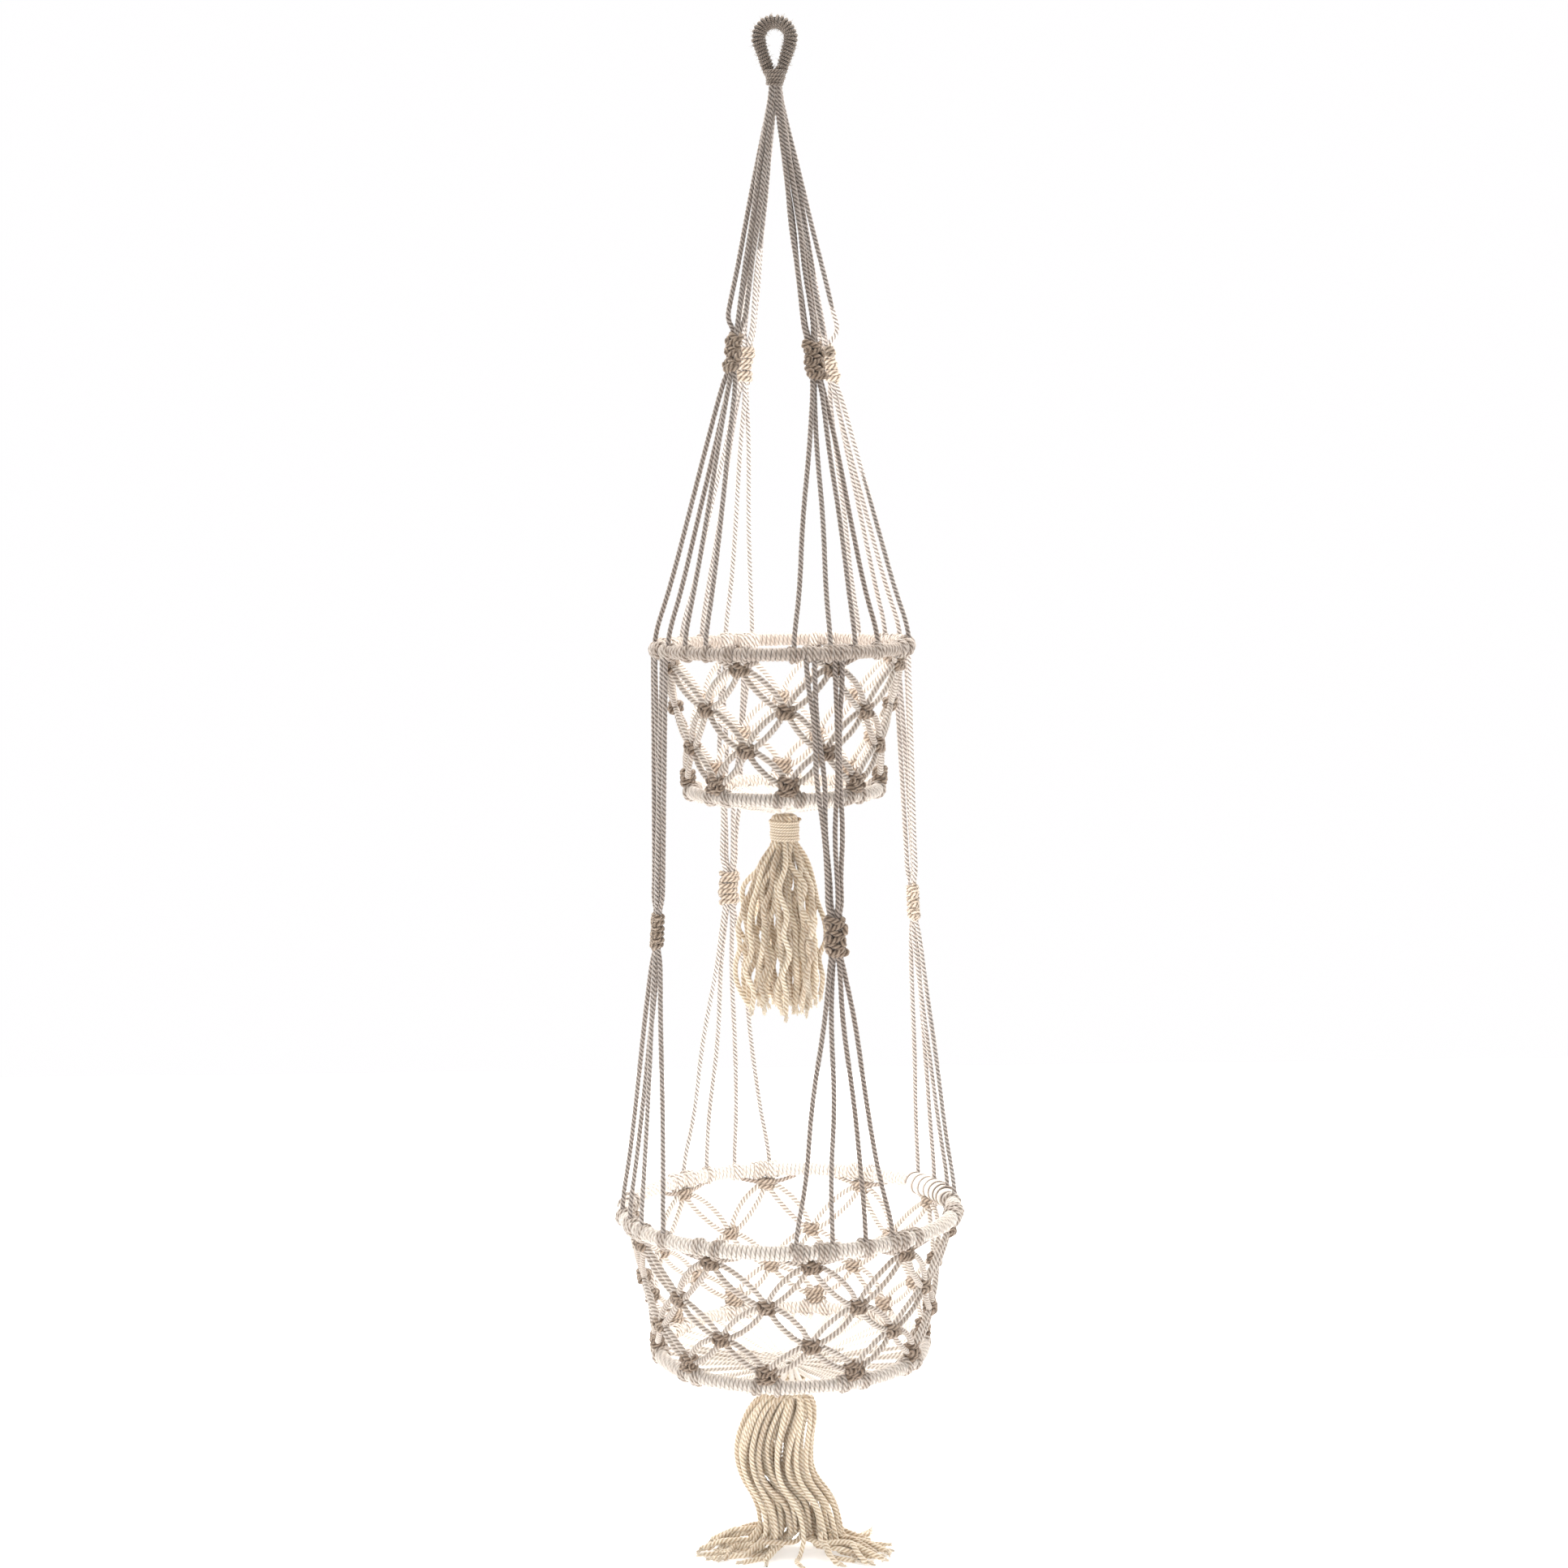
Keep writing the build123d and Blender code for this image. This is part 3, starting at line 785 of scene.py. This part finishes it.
def make_sinnets(kind, body, material, seed):
    """Three square knots in each sinnet, which leans with the cords that run through it."""
    chance = random.Random(seed)
    for index in range(4):
        radius, azimuth, top, foot = sinnet_place(kind, index)
        mesh = Mesh()
        gap = (top - foot - 2 * CORD_R) / 3
        heights = []
        for knot in range(3):
            middle = gap * (1 - knot) + chance.uniform(-0.4, 0.4)
            heights += [middle + 1.9, middle - 1.9]
        for line in knot_lines(heights, 5.0, *SINNET_SIZE[kind][index], chance):
            line[:, 0] -= SINNET_LEAN[kind] * line[:, 2]
            line[:, 1] += 0.9 * np.sin(line[:, 2] / gap * math.pi + index)
            place = wall_points(line, radius, azimuth, (top + foot) / 2, SINNET_TURN[kind][index])
            # Painted shade: the front sinnets are darker than those at the back.
            mesh.tube(place, KNOT_R, tone_and_shade=SINNET_PAINTED_SHADE[index] + chance.uniform(0, 0.2),
                      phase=chance.uniform(0, 6))
        piece = mesh.build(f"{kind}_sinnet_knots_{index + 1}", material)
        place_piece(piece, body, "cotton_cord", f"{kind}_sinnet_{index + 1}")


# ---- Nets ----
def turned(vector, angle):
    """The vector, or rows of vectors' two parts, turned by an angle."""
    x, y = vector
    return np.array((x * math.cos(angle) - y * math.sin(angle),
                     x * math.sin(angle) + y * math.cos(angle)))


def painted_front_shade(azimuth, chance):
    """How pale a cord is, with painted shade and light: the cords of the front are a little darker
    than those of the back, which are painted as if lit from behind, and each cord varies at random.
    """
    return 0.8 + 0.15 * math.sin(math.radians(azimuth)) + chance.uniform(-0.15, 0.1)


def knot_azimuths(count, turn, row):
    step = 360 / count
    offset = step / 2 if row % 2 == 0 else 0
    return [-90 + turn + offset + step * i for i in range(count)]


def net_cord(upper, lower, side, outer, bow_range, chance):
    """One of the two cords from a knot to the next; the pair bow gently away from each other."""
    upper_r, upper_az, upper_z = upper
    lower_r, lower_az, lower_z = lower
    span = (upper_r + lower_r) / 2 * math.radians(abs(lower_az - upper_az))
    drop = upper_z - lower_z
    if outer:
        start = np.array((side * 4.2, -0.6))
        end = np.array((side * (span - 1.5), -drop + 2.6))
    else:
        start = np.array((side * 1.5, -2.6))
        end = np.array((side * (span - 4.2), -drop + 0.6))
    chord = end - start
    bow = side * (1 if outer else -1) * math.radians(chance.uniform(*bow_range))
    leave = turned(chord, bow) * chance.uniform(0.24, 0.32)
    arrive = -turned(chord, -bow) * chance.uniform(0.24, 0.32)
    line = bezier_line(start, leave, end, arrive)
    share = np.clip(-line[:, 1] / drop, 0, 1)
    radius = upper_r + (lower_r - upper_r) * share
    radius = radius + chance.uniform(0.2, 1.0) * np.sin(share * math.pi)
    azimuth = np.radians(upper_az) + line[:, 0] / ((upper_r + lower_r) / 2)
    return np.column_stack((radius * np.cos(azimuth), radius * np.sin(azimuth),
                            upper_z + line[:, 1]))


def make_net(tier, body, count, turn, knot_material, cord_material, seed):
    chance = random.Random(seed)
    step = 360 / count
    places = []
    for row in range(4):
        radius, z = node_ring(f"{tier}_net_knots_{row + 1}")
        places.append([
            (radius, azimuth + chance.uniform(-1.1, 1.1),
             z + (chance.uniform(-1.6, 1.6) if 0 < row < 3 else 0))
            for azimuth in knot_azimuths(count, turn, row)
        ])
    for row in range(4):
        knots = Mesh()
        heights, half_width = ((1.9, -1.9), (5.0, 4.3, 4.4, 5.2)[row])
        if row == 3:
            heights = (3.8, 0.2, -3.4)
        for radius, azimuth, z in places[row]:
            lines = knot_lines(heights, 4.6, half_width, 3.4, chance)
            tilt = chance.uniform(-0.16, 0.16)
            for line in lines:
                local = np.column_stack((line[:, 0], *turned(line[:, 1:].T, tilt)))
                # Painted shade: the knots' cords are darker than the net's cords, most of all at
                # the front.
                knots.tube(wall_points(local, radius, azimuth, z), KNOT_R,
                           tone_and_shade=painted_front_shade(azimuth, chance) * 1.6 - 0.95,
                           phase=chance.uniform(0, 6), step=1.0)
            for filler in (-1.6, 1.6):
                core = smooth_line([(0, filler, 4.6), (0.2, filler * 0.9, 1.5),
                                    (0, filler * 0.9, -1.5), (0, filler, -4.6)], 4)
                knots.tube(wall_points(core, radius, azimuth, z), CORD_R * 0.97,
                           tone_and_shade=chance.random(), step=1.0)
        piece = knots.build(f"{tier}_net_square_knots_{row + 1}", knot_material)
        place_piece(piece, body, "cotton_cord", f"{tier}_net_knots_{row + 1}")
    for row in range(3):
        cords = Mesh()
        for index, upper in enumerate(places[row]):
            for side in (1, -1):
                near = min(
                    places[row + 1],
                    key=lambda p: abs((p[1] - upper[1] - side * step / 2 + 180) % 360 - 180),
                )
                lower_az = upper[1] + ((near[1] - upper[1] + 180) % 360 - 180)
                lower = (near[0], lower_az, near[2])
                for outer in (True, False):
                    line = net_cord(upper, lower, side, outer, NET_BOW[tier], chance)
                    # Painted shade and light: the front net cords are darker, the back ones paler.
                    cords.tube(line, NET_R, tone_and_shade=painted_front_shade(upper[1], chance),
                               phase=chance.uniform(0, FULL_TURN))
        piece = cords.build(f"{tier}_net_mesh_{row + 1}", cord_material)
        place_piece(piece, body, "cotton_cord", f"{tier}_net_cords_{row + 1}")
    return places


# ---- Hoops ----
def ring_coil(radius, z, tube_r, start, span, turns, chance, wander=0.12):
    """A cord wound round a hoop, with the outward normals of its turns."""
    count = max(24, int(abs(turns) * 22))
    share = np.linspace(0, 1, count)
    azimuth = np.radians(start + span * share)
    angle = share * turns * 2 * math.pi
    loose = np.array([chance.uniform(-wander, wander) for _ in range(int(abs(turns)) + 3)])
    reach = tube_r + np.interp(share * abs(turns), np.arange(len(loose)), loose)
    out = np.column_stack((np.cos(azimuth), np.sin(azimuth), np.zeros(count)))
    normal = out * np.cos(angle)[:, None]
    normal[:, 2] = np.sin(angle)
    centre = out * radius + np.array((0, 0, z))
    return centre + normal * reach[:, None], normal


def make_hoop(name, body, hitches, material, seed):
    """The wrapping of one hoop, and the hitches tied over it where cords reach it."""
    chance = random.Random(seed)
    wire_r, radius, z = hoop_ring(name)
    wrap = Mesh()
    thick = WRAP_T[name]
    turns = int(2 * math.pi * radius / (2 * WRAP_W * 0.94))
    coil, normals = ring_coil(radius, z, wire_r + thick, 0, 360, turns, chance)
    turn_length = 2 * math.pi * (wire_r + thick)
    lay = 3 * turn_length / (round(turn_length / 3.2) + 0.4)
    # The wrapping's paleness for each hoop is painted light and shade.
    wrap.tube(coil, CORD_R, lay, WRAP_LIGHT_AND_SHADE[name], depth=0.16, flat=(thick, WRAP_W),
              normals=normals)
    piece = wrap.build(f"{name}_wrapping", material)
    place_piece(piece, body, "cotton_cord", f"{name}_wrap")
    ties = Mesh()
    for azimuth in hitches:
        turns = chance.choice((1.5, 1.9, 2.2))
        span = math.degrees(turns * 2 * CORD_R * 0.98 / radius) * chance.choice((-1, 1))
        start = azimuth - span / 2
        count = 60
        share = np.linspace(0, 1, count)
        angle = math.pi / 2 + share * turns * 2 * math.pi * (1 if span > 0 else -1)
        theta = np.radians(start + span * share)
        reach = wire_r + thick * 2 + 0.3 * np.sin(share * 9 + chance.uniform(0, 6))
        reach[:4] -= np.array((1.2, 0.8, 0.4, 0.1))
        reach[-4:] -= np.array((0.1, 0.4, 0.8, 1.2))
        ring = radius + np.cos(angle) * reach
        line = np.column_stack((ring * np.cos(theta), ring * np.sin(theta),
                                z + np.sin(angle) * reach))
        # Painted shade: the hitches are darker than the wrapping, most on the upper hoop and at the
        # front.
        tone_and_shade = painted_front_shade(azimuth, chance) * 1.6 - (0.85 if name == "upper_hoop" else 0.6)
        ties.tube(line, CORD_R * 1.08, tone_and_shade=tone_and_shade, phase=chance.uniform(0, 6))
    piece = ties.build(f"{name}_hitches", material)
    place_piece(piece, body, "cotton_cord")
    return radius, z


def row_hitches(places, spread):
    return [azimuth + offset for _, azimuth, _ in places for offset in (-spread, spread)]


def make_feeds(tier, body, hoop, knots, reach_deg, material, seed):
    """Cords that leave the hoop beside each knot of the top row and run in to it."""
    chance = random.Random(seed)
    radius, hoop_z = hoop
    mesh = Mesh()
    for knot_r, azimuth, z in knots:
        for side in (1, -1):
            start = polar(radius, azimuth + side * reach_deg, hoop_z - 4.6)
            end = on_wall(knot_r, azimuth, z, 0, side * 3.4, 0.8)
            middle = (start + end) / 2 + np.array((0, 0, chance.uniform(-1.2, -0.2)))
            mesh.tube(smooth_line([start, middle, end], 10), tone_and_shade=chance.random())
            start = polar(radius, azimuth + side * 2.4, hoop_z - 4.5)
            end = on_wall(knot_r, azimuth, z, 0, side * 1.7, 0)
            middle = (start + end) / 2 + (0, 0, -0.3)
            mesh.tube(smooth_line([start, middle, end], 6), tone_and_shade=chance.random())
    piece = mesh.build(f"{tier}_feed_cords", material)
    place_piece(piece, body, "cotton_cord")


def make_overwrap(material):
    """The broad flat turns laid over a stretch of the lower hoop, with a finer cord over them."""
    chance = random.Random(41)
    wire_r, radius, z = hoop_ring("lower_hoop")
    mesh = Mesh()
    wrapped_r = wire_r + CORD_R * 2
    coil, normals = ring_coil(radius, z, wrapped_r + 0.9, 11.0, 28.0, 7, chance, 0.3)
    coil[:10] -= normals[:10] * np.linspace(2.0, 0, 10)[:, None]
    coil[-10:] -= normals[-10:] * np.linspace(0, 2.0, 10)[:, None]
    mesh.tube(coil, 3.0, lay=40.0, tone_and_shade=1.0, step=1.3, points=14, lobes=7, depth=0.08,
              flat=(1.3, 4.1), normals=normals)
    edge, normals = ring_coil(radius, z, wrapped_r + 2.0, 13.0, 26.0, 6.5, chance, 0.1)
    mesh.tube(edge, 0.8, lay=5.0, tone_and_shade=0.55, step=1.0, points=8, depth=0.25, normals=normals)
    piece = mesh.build("lower_hoop_broad_turns", material)
    place_piece(piece, "lower_tier", "cotton_cord", "lower_hoop_overwrap")


# ---- Bases and tassels ----
def make_base(tier, body, hoop, count, material, seed):
    """Cords from the base hoop, under the basket, to the gather over the tassel."""
    chance = random.Random(seed)
    radius, z = hoop
    low, high = box_mm(f"{tier}_base_gather")
    mesh = Mesh()
    total = count * 4
    for i in range(total):
        azimuth = 360 / total * i + chance.uniform(-1.6, 1.6)
        sag = chance.uniform(-0.8, 1.2)
        layer = (i % 3) * 1.2
        points = [
            polar(radius - 1.0, azimuth, z - 4.6),
            polar(radius - 9.0, azimuth, z - 5.6 - sag * 0.3),
            polar(radius * 0.55, azimuth + chance.uniform(-2, 2), z - 9.3 - sag),
            polar(16.0, azimuth + chance.uniform(-3, 3), high.z - 1.4 - layer * 0.6),
            polar(8.2, azimuth, high.z - 2.6 - layer * 0.5),
            polar(4.7, azimuth, low.z + 0.6),
        ]
        mesh.tube(smooth_line(points, 8), tone_and_shade=chance.uniform(0.75, 1.0),
                  phase=chance.uniform(0, FULL_TURN), step=1.3)
    piece = mesh.build(f"{tier}_base_cords", material)
    place_piece(piece, body, "cotton_cord", f"{tier}_base_spokes", f"{tier}_base_gather")


def head_wrap(mesh, low, high, radius, chance):
    """The turns of cord round a tassel's head, which flare a little at the top."""
    count = HEAD_TURNS * 36
    share = np.linspace(0, 1, count)
    angle = share * HEAD_TURNS * 2 * math.pi
    fine = (high - low) / HEAD_TURNS / 2
    flare = 1.4 * np.clip(1 - share * 5, 0, 1)
    reach = radius - fine + flare + 0.2 * np.sin(share * 31 + chance.uniform(0, 6))
    normals = np.column_stack((np.cos(angle), np.sin(angle), np.zeros(count)))
    coil = normals * reach[:, None]
    coil[:, 2] = high - fine - share * (high - low - 2 * fine)
    mesh.tube(coil, fine * 1.04, lay=6.0, tone_and_shade=0.8, step=1.0, points=10, depth=0.28,
              normals=normals)


def make_tassel_head(tassel, dome, chance, material):
    """The wrapped head, and the cords that come out of its top and turn down under the wrapping.
    dome: the radii and the drops of their first two points. Gives the head's lowest height."""
    low, high = box_mm(f"{tassel}_head")
    mesh = Mesh()
    shoulder = high.z - HEAD_SHOULDER
    head_wrap(mesh, low.z, shoulder, high.x, chance)
    for i in range(16):
        azimuth = 22.5 * i
        points = [polar(radius, azimuth, high.z - drop) for radius, drop in dome]
        points += [polar(8.2, azimuth + 5, shoulder - 1.5), polar(7.6, azimuth + 8, low.z + 2)]
        mesh.tube(smooth_line(points, 6), tone_and_shade=chance.random(), step=1.2)
    piece = mesh.build(f"{tassel}_head_wrap", material)
    place_piece(piece, tassel, "tassel_cotton", f"{tassel}_head")
    return low.z


def make_upper_tassel(material):
    chance = random.Random(51)
    head_z = make_tassel_head("upper_tassel", ((2.0, 1.7), (5.6, 2.9)), chance, material)
    skirt = Mesh()
    strands = 40
    drop = head_z - box_mm("upper_tassel_skirt")[0].z
    for i in range(strands):
        ring = math.sqrt((i + 0.5) / strands)
        azimuth = i * GOLDEN_ANGLE
        widest = 4 + ring * 29.5 + chance.uniform(-2.0, 1.5)
        length = drop - chance.uniform(5, 17)
        drift = chance.uniform(-16, 16)
        points = [polar(ring * 6.6, azimuth, head_z + 6.0),
                  polar(ring * 8.6, azimuth, head_z - 1.0)]
        for share in (0.12, 0.26, 0.40, 0.52, 0.64, 0.76, 0.88, 1.0):
            swell = math.sin(min(share / 0.5, 1.0) * math.pi / 2) ** 0.9
            narrow = 1 - 0.12 * max(0.0, share - 0.7) / 0.3
            radius = ring * 8.6 + (widest - ring * 8.6) * swell * narrow
            radius += chance.uniform(-5.0, 2.6)
            stray = chance.uniform(-12.0, 12.0) * (10 / max(radius, 8)) * 1.6
            turned = azimuth + drift * share + stray
            place = polar(max(radius, 0.5), turned, head_z - 1.0 - share * (length - 1.0))
            points.append(place - np.array((3.5 * min(share / 0.3, 1.0), 0, 0)))
        line = smooth_line(points, 8)
        skirt.tube(line, TASSEL_R, tone_and_shade=chance.choice((0.35, 0.75, 0.95, 1.0)),
                   phase=chance.uniform(0, FULL_TURN))
        frayed_end(skirt, line, chance)
    piece = skirt.build("upper_tassel_strands", material)
    place_piece(piece, "upper_tassel", "tassel_cotton", "upper_tassel_skirt")


# Middle of the hanging tail, and its half sizes, at each height: (z, x, y, half x, half y)
TAIL_BODY = (
    (-985.0, -4.0, 0.0, 18.0, 13.0),
    (-998.0, -9.0, -1.0, 27.0, 17.0),
    (-1022.0, -15.0, -2.0, 29.0, 19.0),
    (-1044.0, -13.0, -3.0, 27.0, 19.0),
    (-1062.0, 1.0, -6.0, 29.0, 20.0),
    (-1082.0, 5.0, -9.0, 30.0, 22.0),
)
# Where the declared strands lie on the surface: place in the tail, then the points of each run
LAID_STRANDS = (
    (-0.95, -0.2, ((-34, -17), (-47, -20), (-58, -26), (-66, -27))),
    (-0.80, -0.6, ((-30, -25), (-41, -31), (-50, -32), (-59, -35))),
    (-0.55, -0.8, ((-20, -34), (-29, -39), (-37, -43))),
    (0.95, -0.1, ((36, -16), (48, -20), (58, -20), (68, -23))),
    (0.85, -0.6, ((33, -26), (45, -31), (54, -35), (62, -34))),
    (0.60, -0.8, ((25, -33), (35, -39), (43, -41))),
    (0.10, -1.0, ((4, -36), (1, -44), (5, -51))),
    (1.00, 0.2, ((37, -7), (48, -9), (58, -9), (68, -12))),
)


def tail_place(level, u, v):
    z, x, y, half_x, half_y = TAIL_BODY[level]
    return np.array((x + u * half_x, y + v * half_y, z))


def tail_route(u, v, run, floor, rise, head_z):
    """A strand's route: out of the head, down its place in the tail, and along its run on the
    surface."""
    points = [np.array((u * TAIL_HEAD_R * 0.6, v * TAIL_HEAD_R * 0.6, head_z + 5)),
              np.array((u * TAIL_HEAD_R, v * TAIL_HEAD_R, head_z - 1))]
    points += [tail_place(level, u, v) for level in range(len(TAIL_BODY))]
    last = points[-1]
    first = np.array((*run[0], floor + rise))
    points.append(np.array((last[0] * 0.55 + first[0] * 0.45, last[1] * 0.55 + first[1] * 0.45,
                            floor + rise + 5.5)))
    points.append(first)
    points += [np.array((x, y, floor + rise)) for x, y in run[1:]]
    return points


def make_bottom_tassel(material):
    chance = random.Random(61)
    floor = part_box("bottom_tassel_tail")[0].z / MM
    head_z = make_tassel_head("bottom_tassel", ((2.2, 0.6), (5.6, 2.2)), chance, material)
    strands = Mesh()
    for index, (u, v, run) in enumerate(LAID_STRANDS):
        points = tail_route(u, v, run, floor, CORD_R + 0.1, head_z)
        line = declare_cord(
            f"bottom_tassel_strand_{index + 1}", points, material, chance.uniform(0.7, 1.0),
            chance.uniform(0, FULL_TURN), body="bottom_tassel",
            nodes=("bottom_tassel_tail",),
        )
        frayed_end(strands, line, chance)
    count = 36
    for i in range(count):
        ring = math.sqrt((i + 0.5) / count)
        azimuth = math.radians(i * GOLDEN_ANGLE)
        u = ring * math.cos(azimuth) * 0.92
        v = ring * math.sin(azimuth) * 0.92
        way = 1 if u + chance.uniform(-0.35, 0.35) > 0 else -1
        rise = CORD_R + 0.2 + 3.6 * (i % 4) * chance.uniform(0.7, 1.0)
        x = 3 + u * 27 + way * chance.uniform(6, 13)
        y = -9 + v * 20 - chance.uniform(2, 8)
        run = [(x, y)]
        heading = chance.uniform(-0.75, 0.25) if v < 0.3 else chance.uniform(-0.4, 0.5)
        for _ in range(chance.choice((3, 4, 4))):
            reach = chance.uniform(7, 12)
            heading += chance.uniform(-0.6, 0.5)
            x = max(-68, min(70, x + way * reach * math.cos(heading)))
            y = max(-52, min(20, y + reach * math.sin(heading)))
            run.append((x, y))
        line = smooth_line(tail_route(u, v, run, floor, rise, head_z), 8)
        slope = np.linspace(0, 1, len(line))
        settle = np.clip((slope - 0.86) / 0.14, 0, 1) * (rise - CORD_R - 0.2)
        line[:, 2] = np.maximum(line[:, 2] - settle, floor + CORD_R)
        for axis in (0, 1):
            wave = np.sin(slope * chance.uniform(14, 26) + chance.uniform(0, 6))
            line[1:-1, axis] += wave[1:-1] * 1.5
        strands.tube(line, TASSEL_R, tone_and_shade=chance.choice((0.55, 0.85, 0.95, 1.0)),
                     phase=chance.uniform(0, FULL_TURN))
        frayed_end(strands, line, chance)
    for places in strands.places:
        places[:, 2] = np.maximum(places[:, 2], floor + 0.05)
    piece = strands.build("bottom_tassel_strands", material)
    place_piece(piece, "bottom_tassel", "tassel_cotton", "bottom_tassel_body")


def make_floor():
    """A plain pale surface that the bottom tassel's ends lie on."""
    mesh = bpy.data.meshes.new("studio_floor")
    half = 1.7
    corners = [(-half, -half, 0), (half, -half, 0), (half, half, 0), (-half, half, 0)]
    mesh.from_pydata(corners, [], [(0, 1, 2, 3)])
    floor = bpy.data.objects.new("studio_floor", mesh)
    floor.location = (0, 0, cad_box[0][2] - 0.0002)
    bpy.context.scene.collection.objects.link(floor)
    mesh.materials.append(new_material("floor_white", {
        "Base Color": (0.98, 0.98, 0.985, 1),
        "Roughness": 0.8,
        "Emission Color": (1, 1, 1, 1),
        "Emission Strength": 0.4,
    })[0])


# ---- Build ----
make_camera()
make_light()
# The last colour of each cotton is the painted shade in the grooves between its plies.
cord_cotton = cotton("cord_cotton", (0.685, 0.605, 0.54), (0.94, 0.89, 0.835), (0.26, 0.205, 0.16))
strand_cotton = cotton("strand_cotton", (0.60, 0.53, 0.485), (0.95, 0.90, 0.86), (0.09, 0.07, 0.06))
# The knots' cotton is a darker copy of the cord cotton: painted shade for the shade among the
# knots.
knot_cotton_painted_shade = cotton("knot_cotton_painted_shade", (0.40, 0.31, 0.235), (0.80, 0.69, 0.575), (0.14, 0.095, 0.065))
# The base cords' cotton is a paler copy: painted light for the backlit glow of the cords under the
# baskets.
base_cotton_painted_light = cotton("base_cotton_painted_light", (0.88, 0.82, 0.75), (0.99, 0.96, 0.92), (0.46, 0.38, 0.31))
loop_cotton = cotton("loop_cotton", (0.36, 0.305, 0.26), (0.72, 0.63, 0.56), (0.055, 0.04, 0.03))
tassel_cotton = cotton("tassel_cotton", (0.93, 0.81, 0.65), (1.0, 0.94, 0.82), (0.50, 0.375, 0.25))
wire = steel()
for node, material in (
    ("upper_hoop_wire", wire), ("upper_base_hoop_wire", wire), ("lower_hoop_wire", wire),
    ("lower_base_hoop_wire", wire), ("loop_core", loop_cotton),
):
    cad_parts[node].data.materials.clear()
    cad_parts[node].data.materials.append(material)

make_long_cords("upper", "upper", strand_cotton, 11)
make_long_cords("mid", "lower", strand_cotton, 12)
make_bottom_tassel(tassel_cotton)
make_loop(loop_cotton)
make_sinnets("upper", "upper_tier", knot_cotton_painted_shade, 21)
make_sinnets("mid", "lower_tier", knot_cotton_painted_shade, 22)
upper_knots = make_net("upper", "upper_tier", UPPER_COUNT, UPPER_TURN,
                       knot_cotton_painted_shade, cord_cotton, 31)
lower_knots = make_net("lower", "lower_tier", LOWER_COUNT, LOWER_TURN,
                       knot_cotton_painted_shade, cord_cotton, 32)
upper_fans = [azimuth for group in UPPER_FAN_AZ for azimuth in group]
lower_fans = [azimuth for group in LOWER_FAN_AZ for azimuth in group]
lower_starts = [start + step for start in LOWER_START_AZ for step in LOWER_TIE_STEPS]
upper_ties = upper_fans + row_hitches(upper_knots[0], 4.0) + lower_starts
upper_hoop = make_hoop("upper_hoop", "upper_tier", upper_ties, cord_cotton, 33)
lower_ties = lower_fans + row_hitches(lower_knots[0], 3.2)
lower_hoop = make_hoop("lower_hoop", "lower_tier", lower_ties, cord_cotton, 34)
upper_base = make_hoop("upper_base_hoop", "upper_tier", row_hitches(upper_knots[3], 6.0),
                       cord_cotton, 35)
lower_base = make_hoop("lower_base_hoop", "lower_tier", row_hitches(lower_knots[3], 4.5),
                       cord_cotton, 36)
make_feeds("upper", "upper_tier", upper_hoop, upper_knots[0], 9.0, cord_cotton, 37)
make_feeds("lower", "lower_tier", lower_hoop, lower_knots[0], 11.0, cord_cotton, 38)
make_overwrap(cord_cotton)
make_base("upper", "upper_tier", upper_base, UPPER_COUNT, base_cotton_painted_light, 39)
make_base("lower", "lower_tier", lower_base, LOWER_COUNT, base_cotton_painted_light, 40)
make_upper_tassel(tassel_cotton)
make_floor()
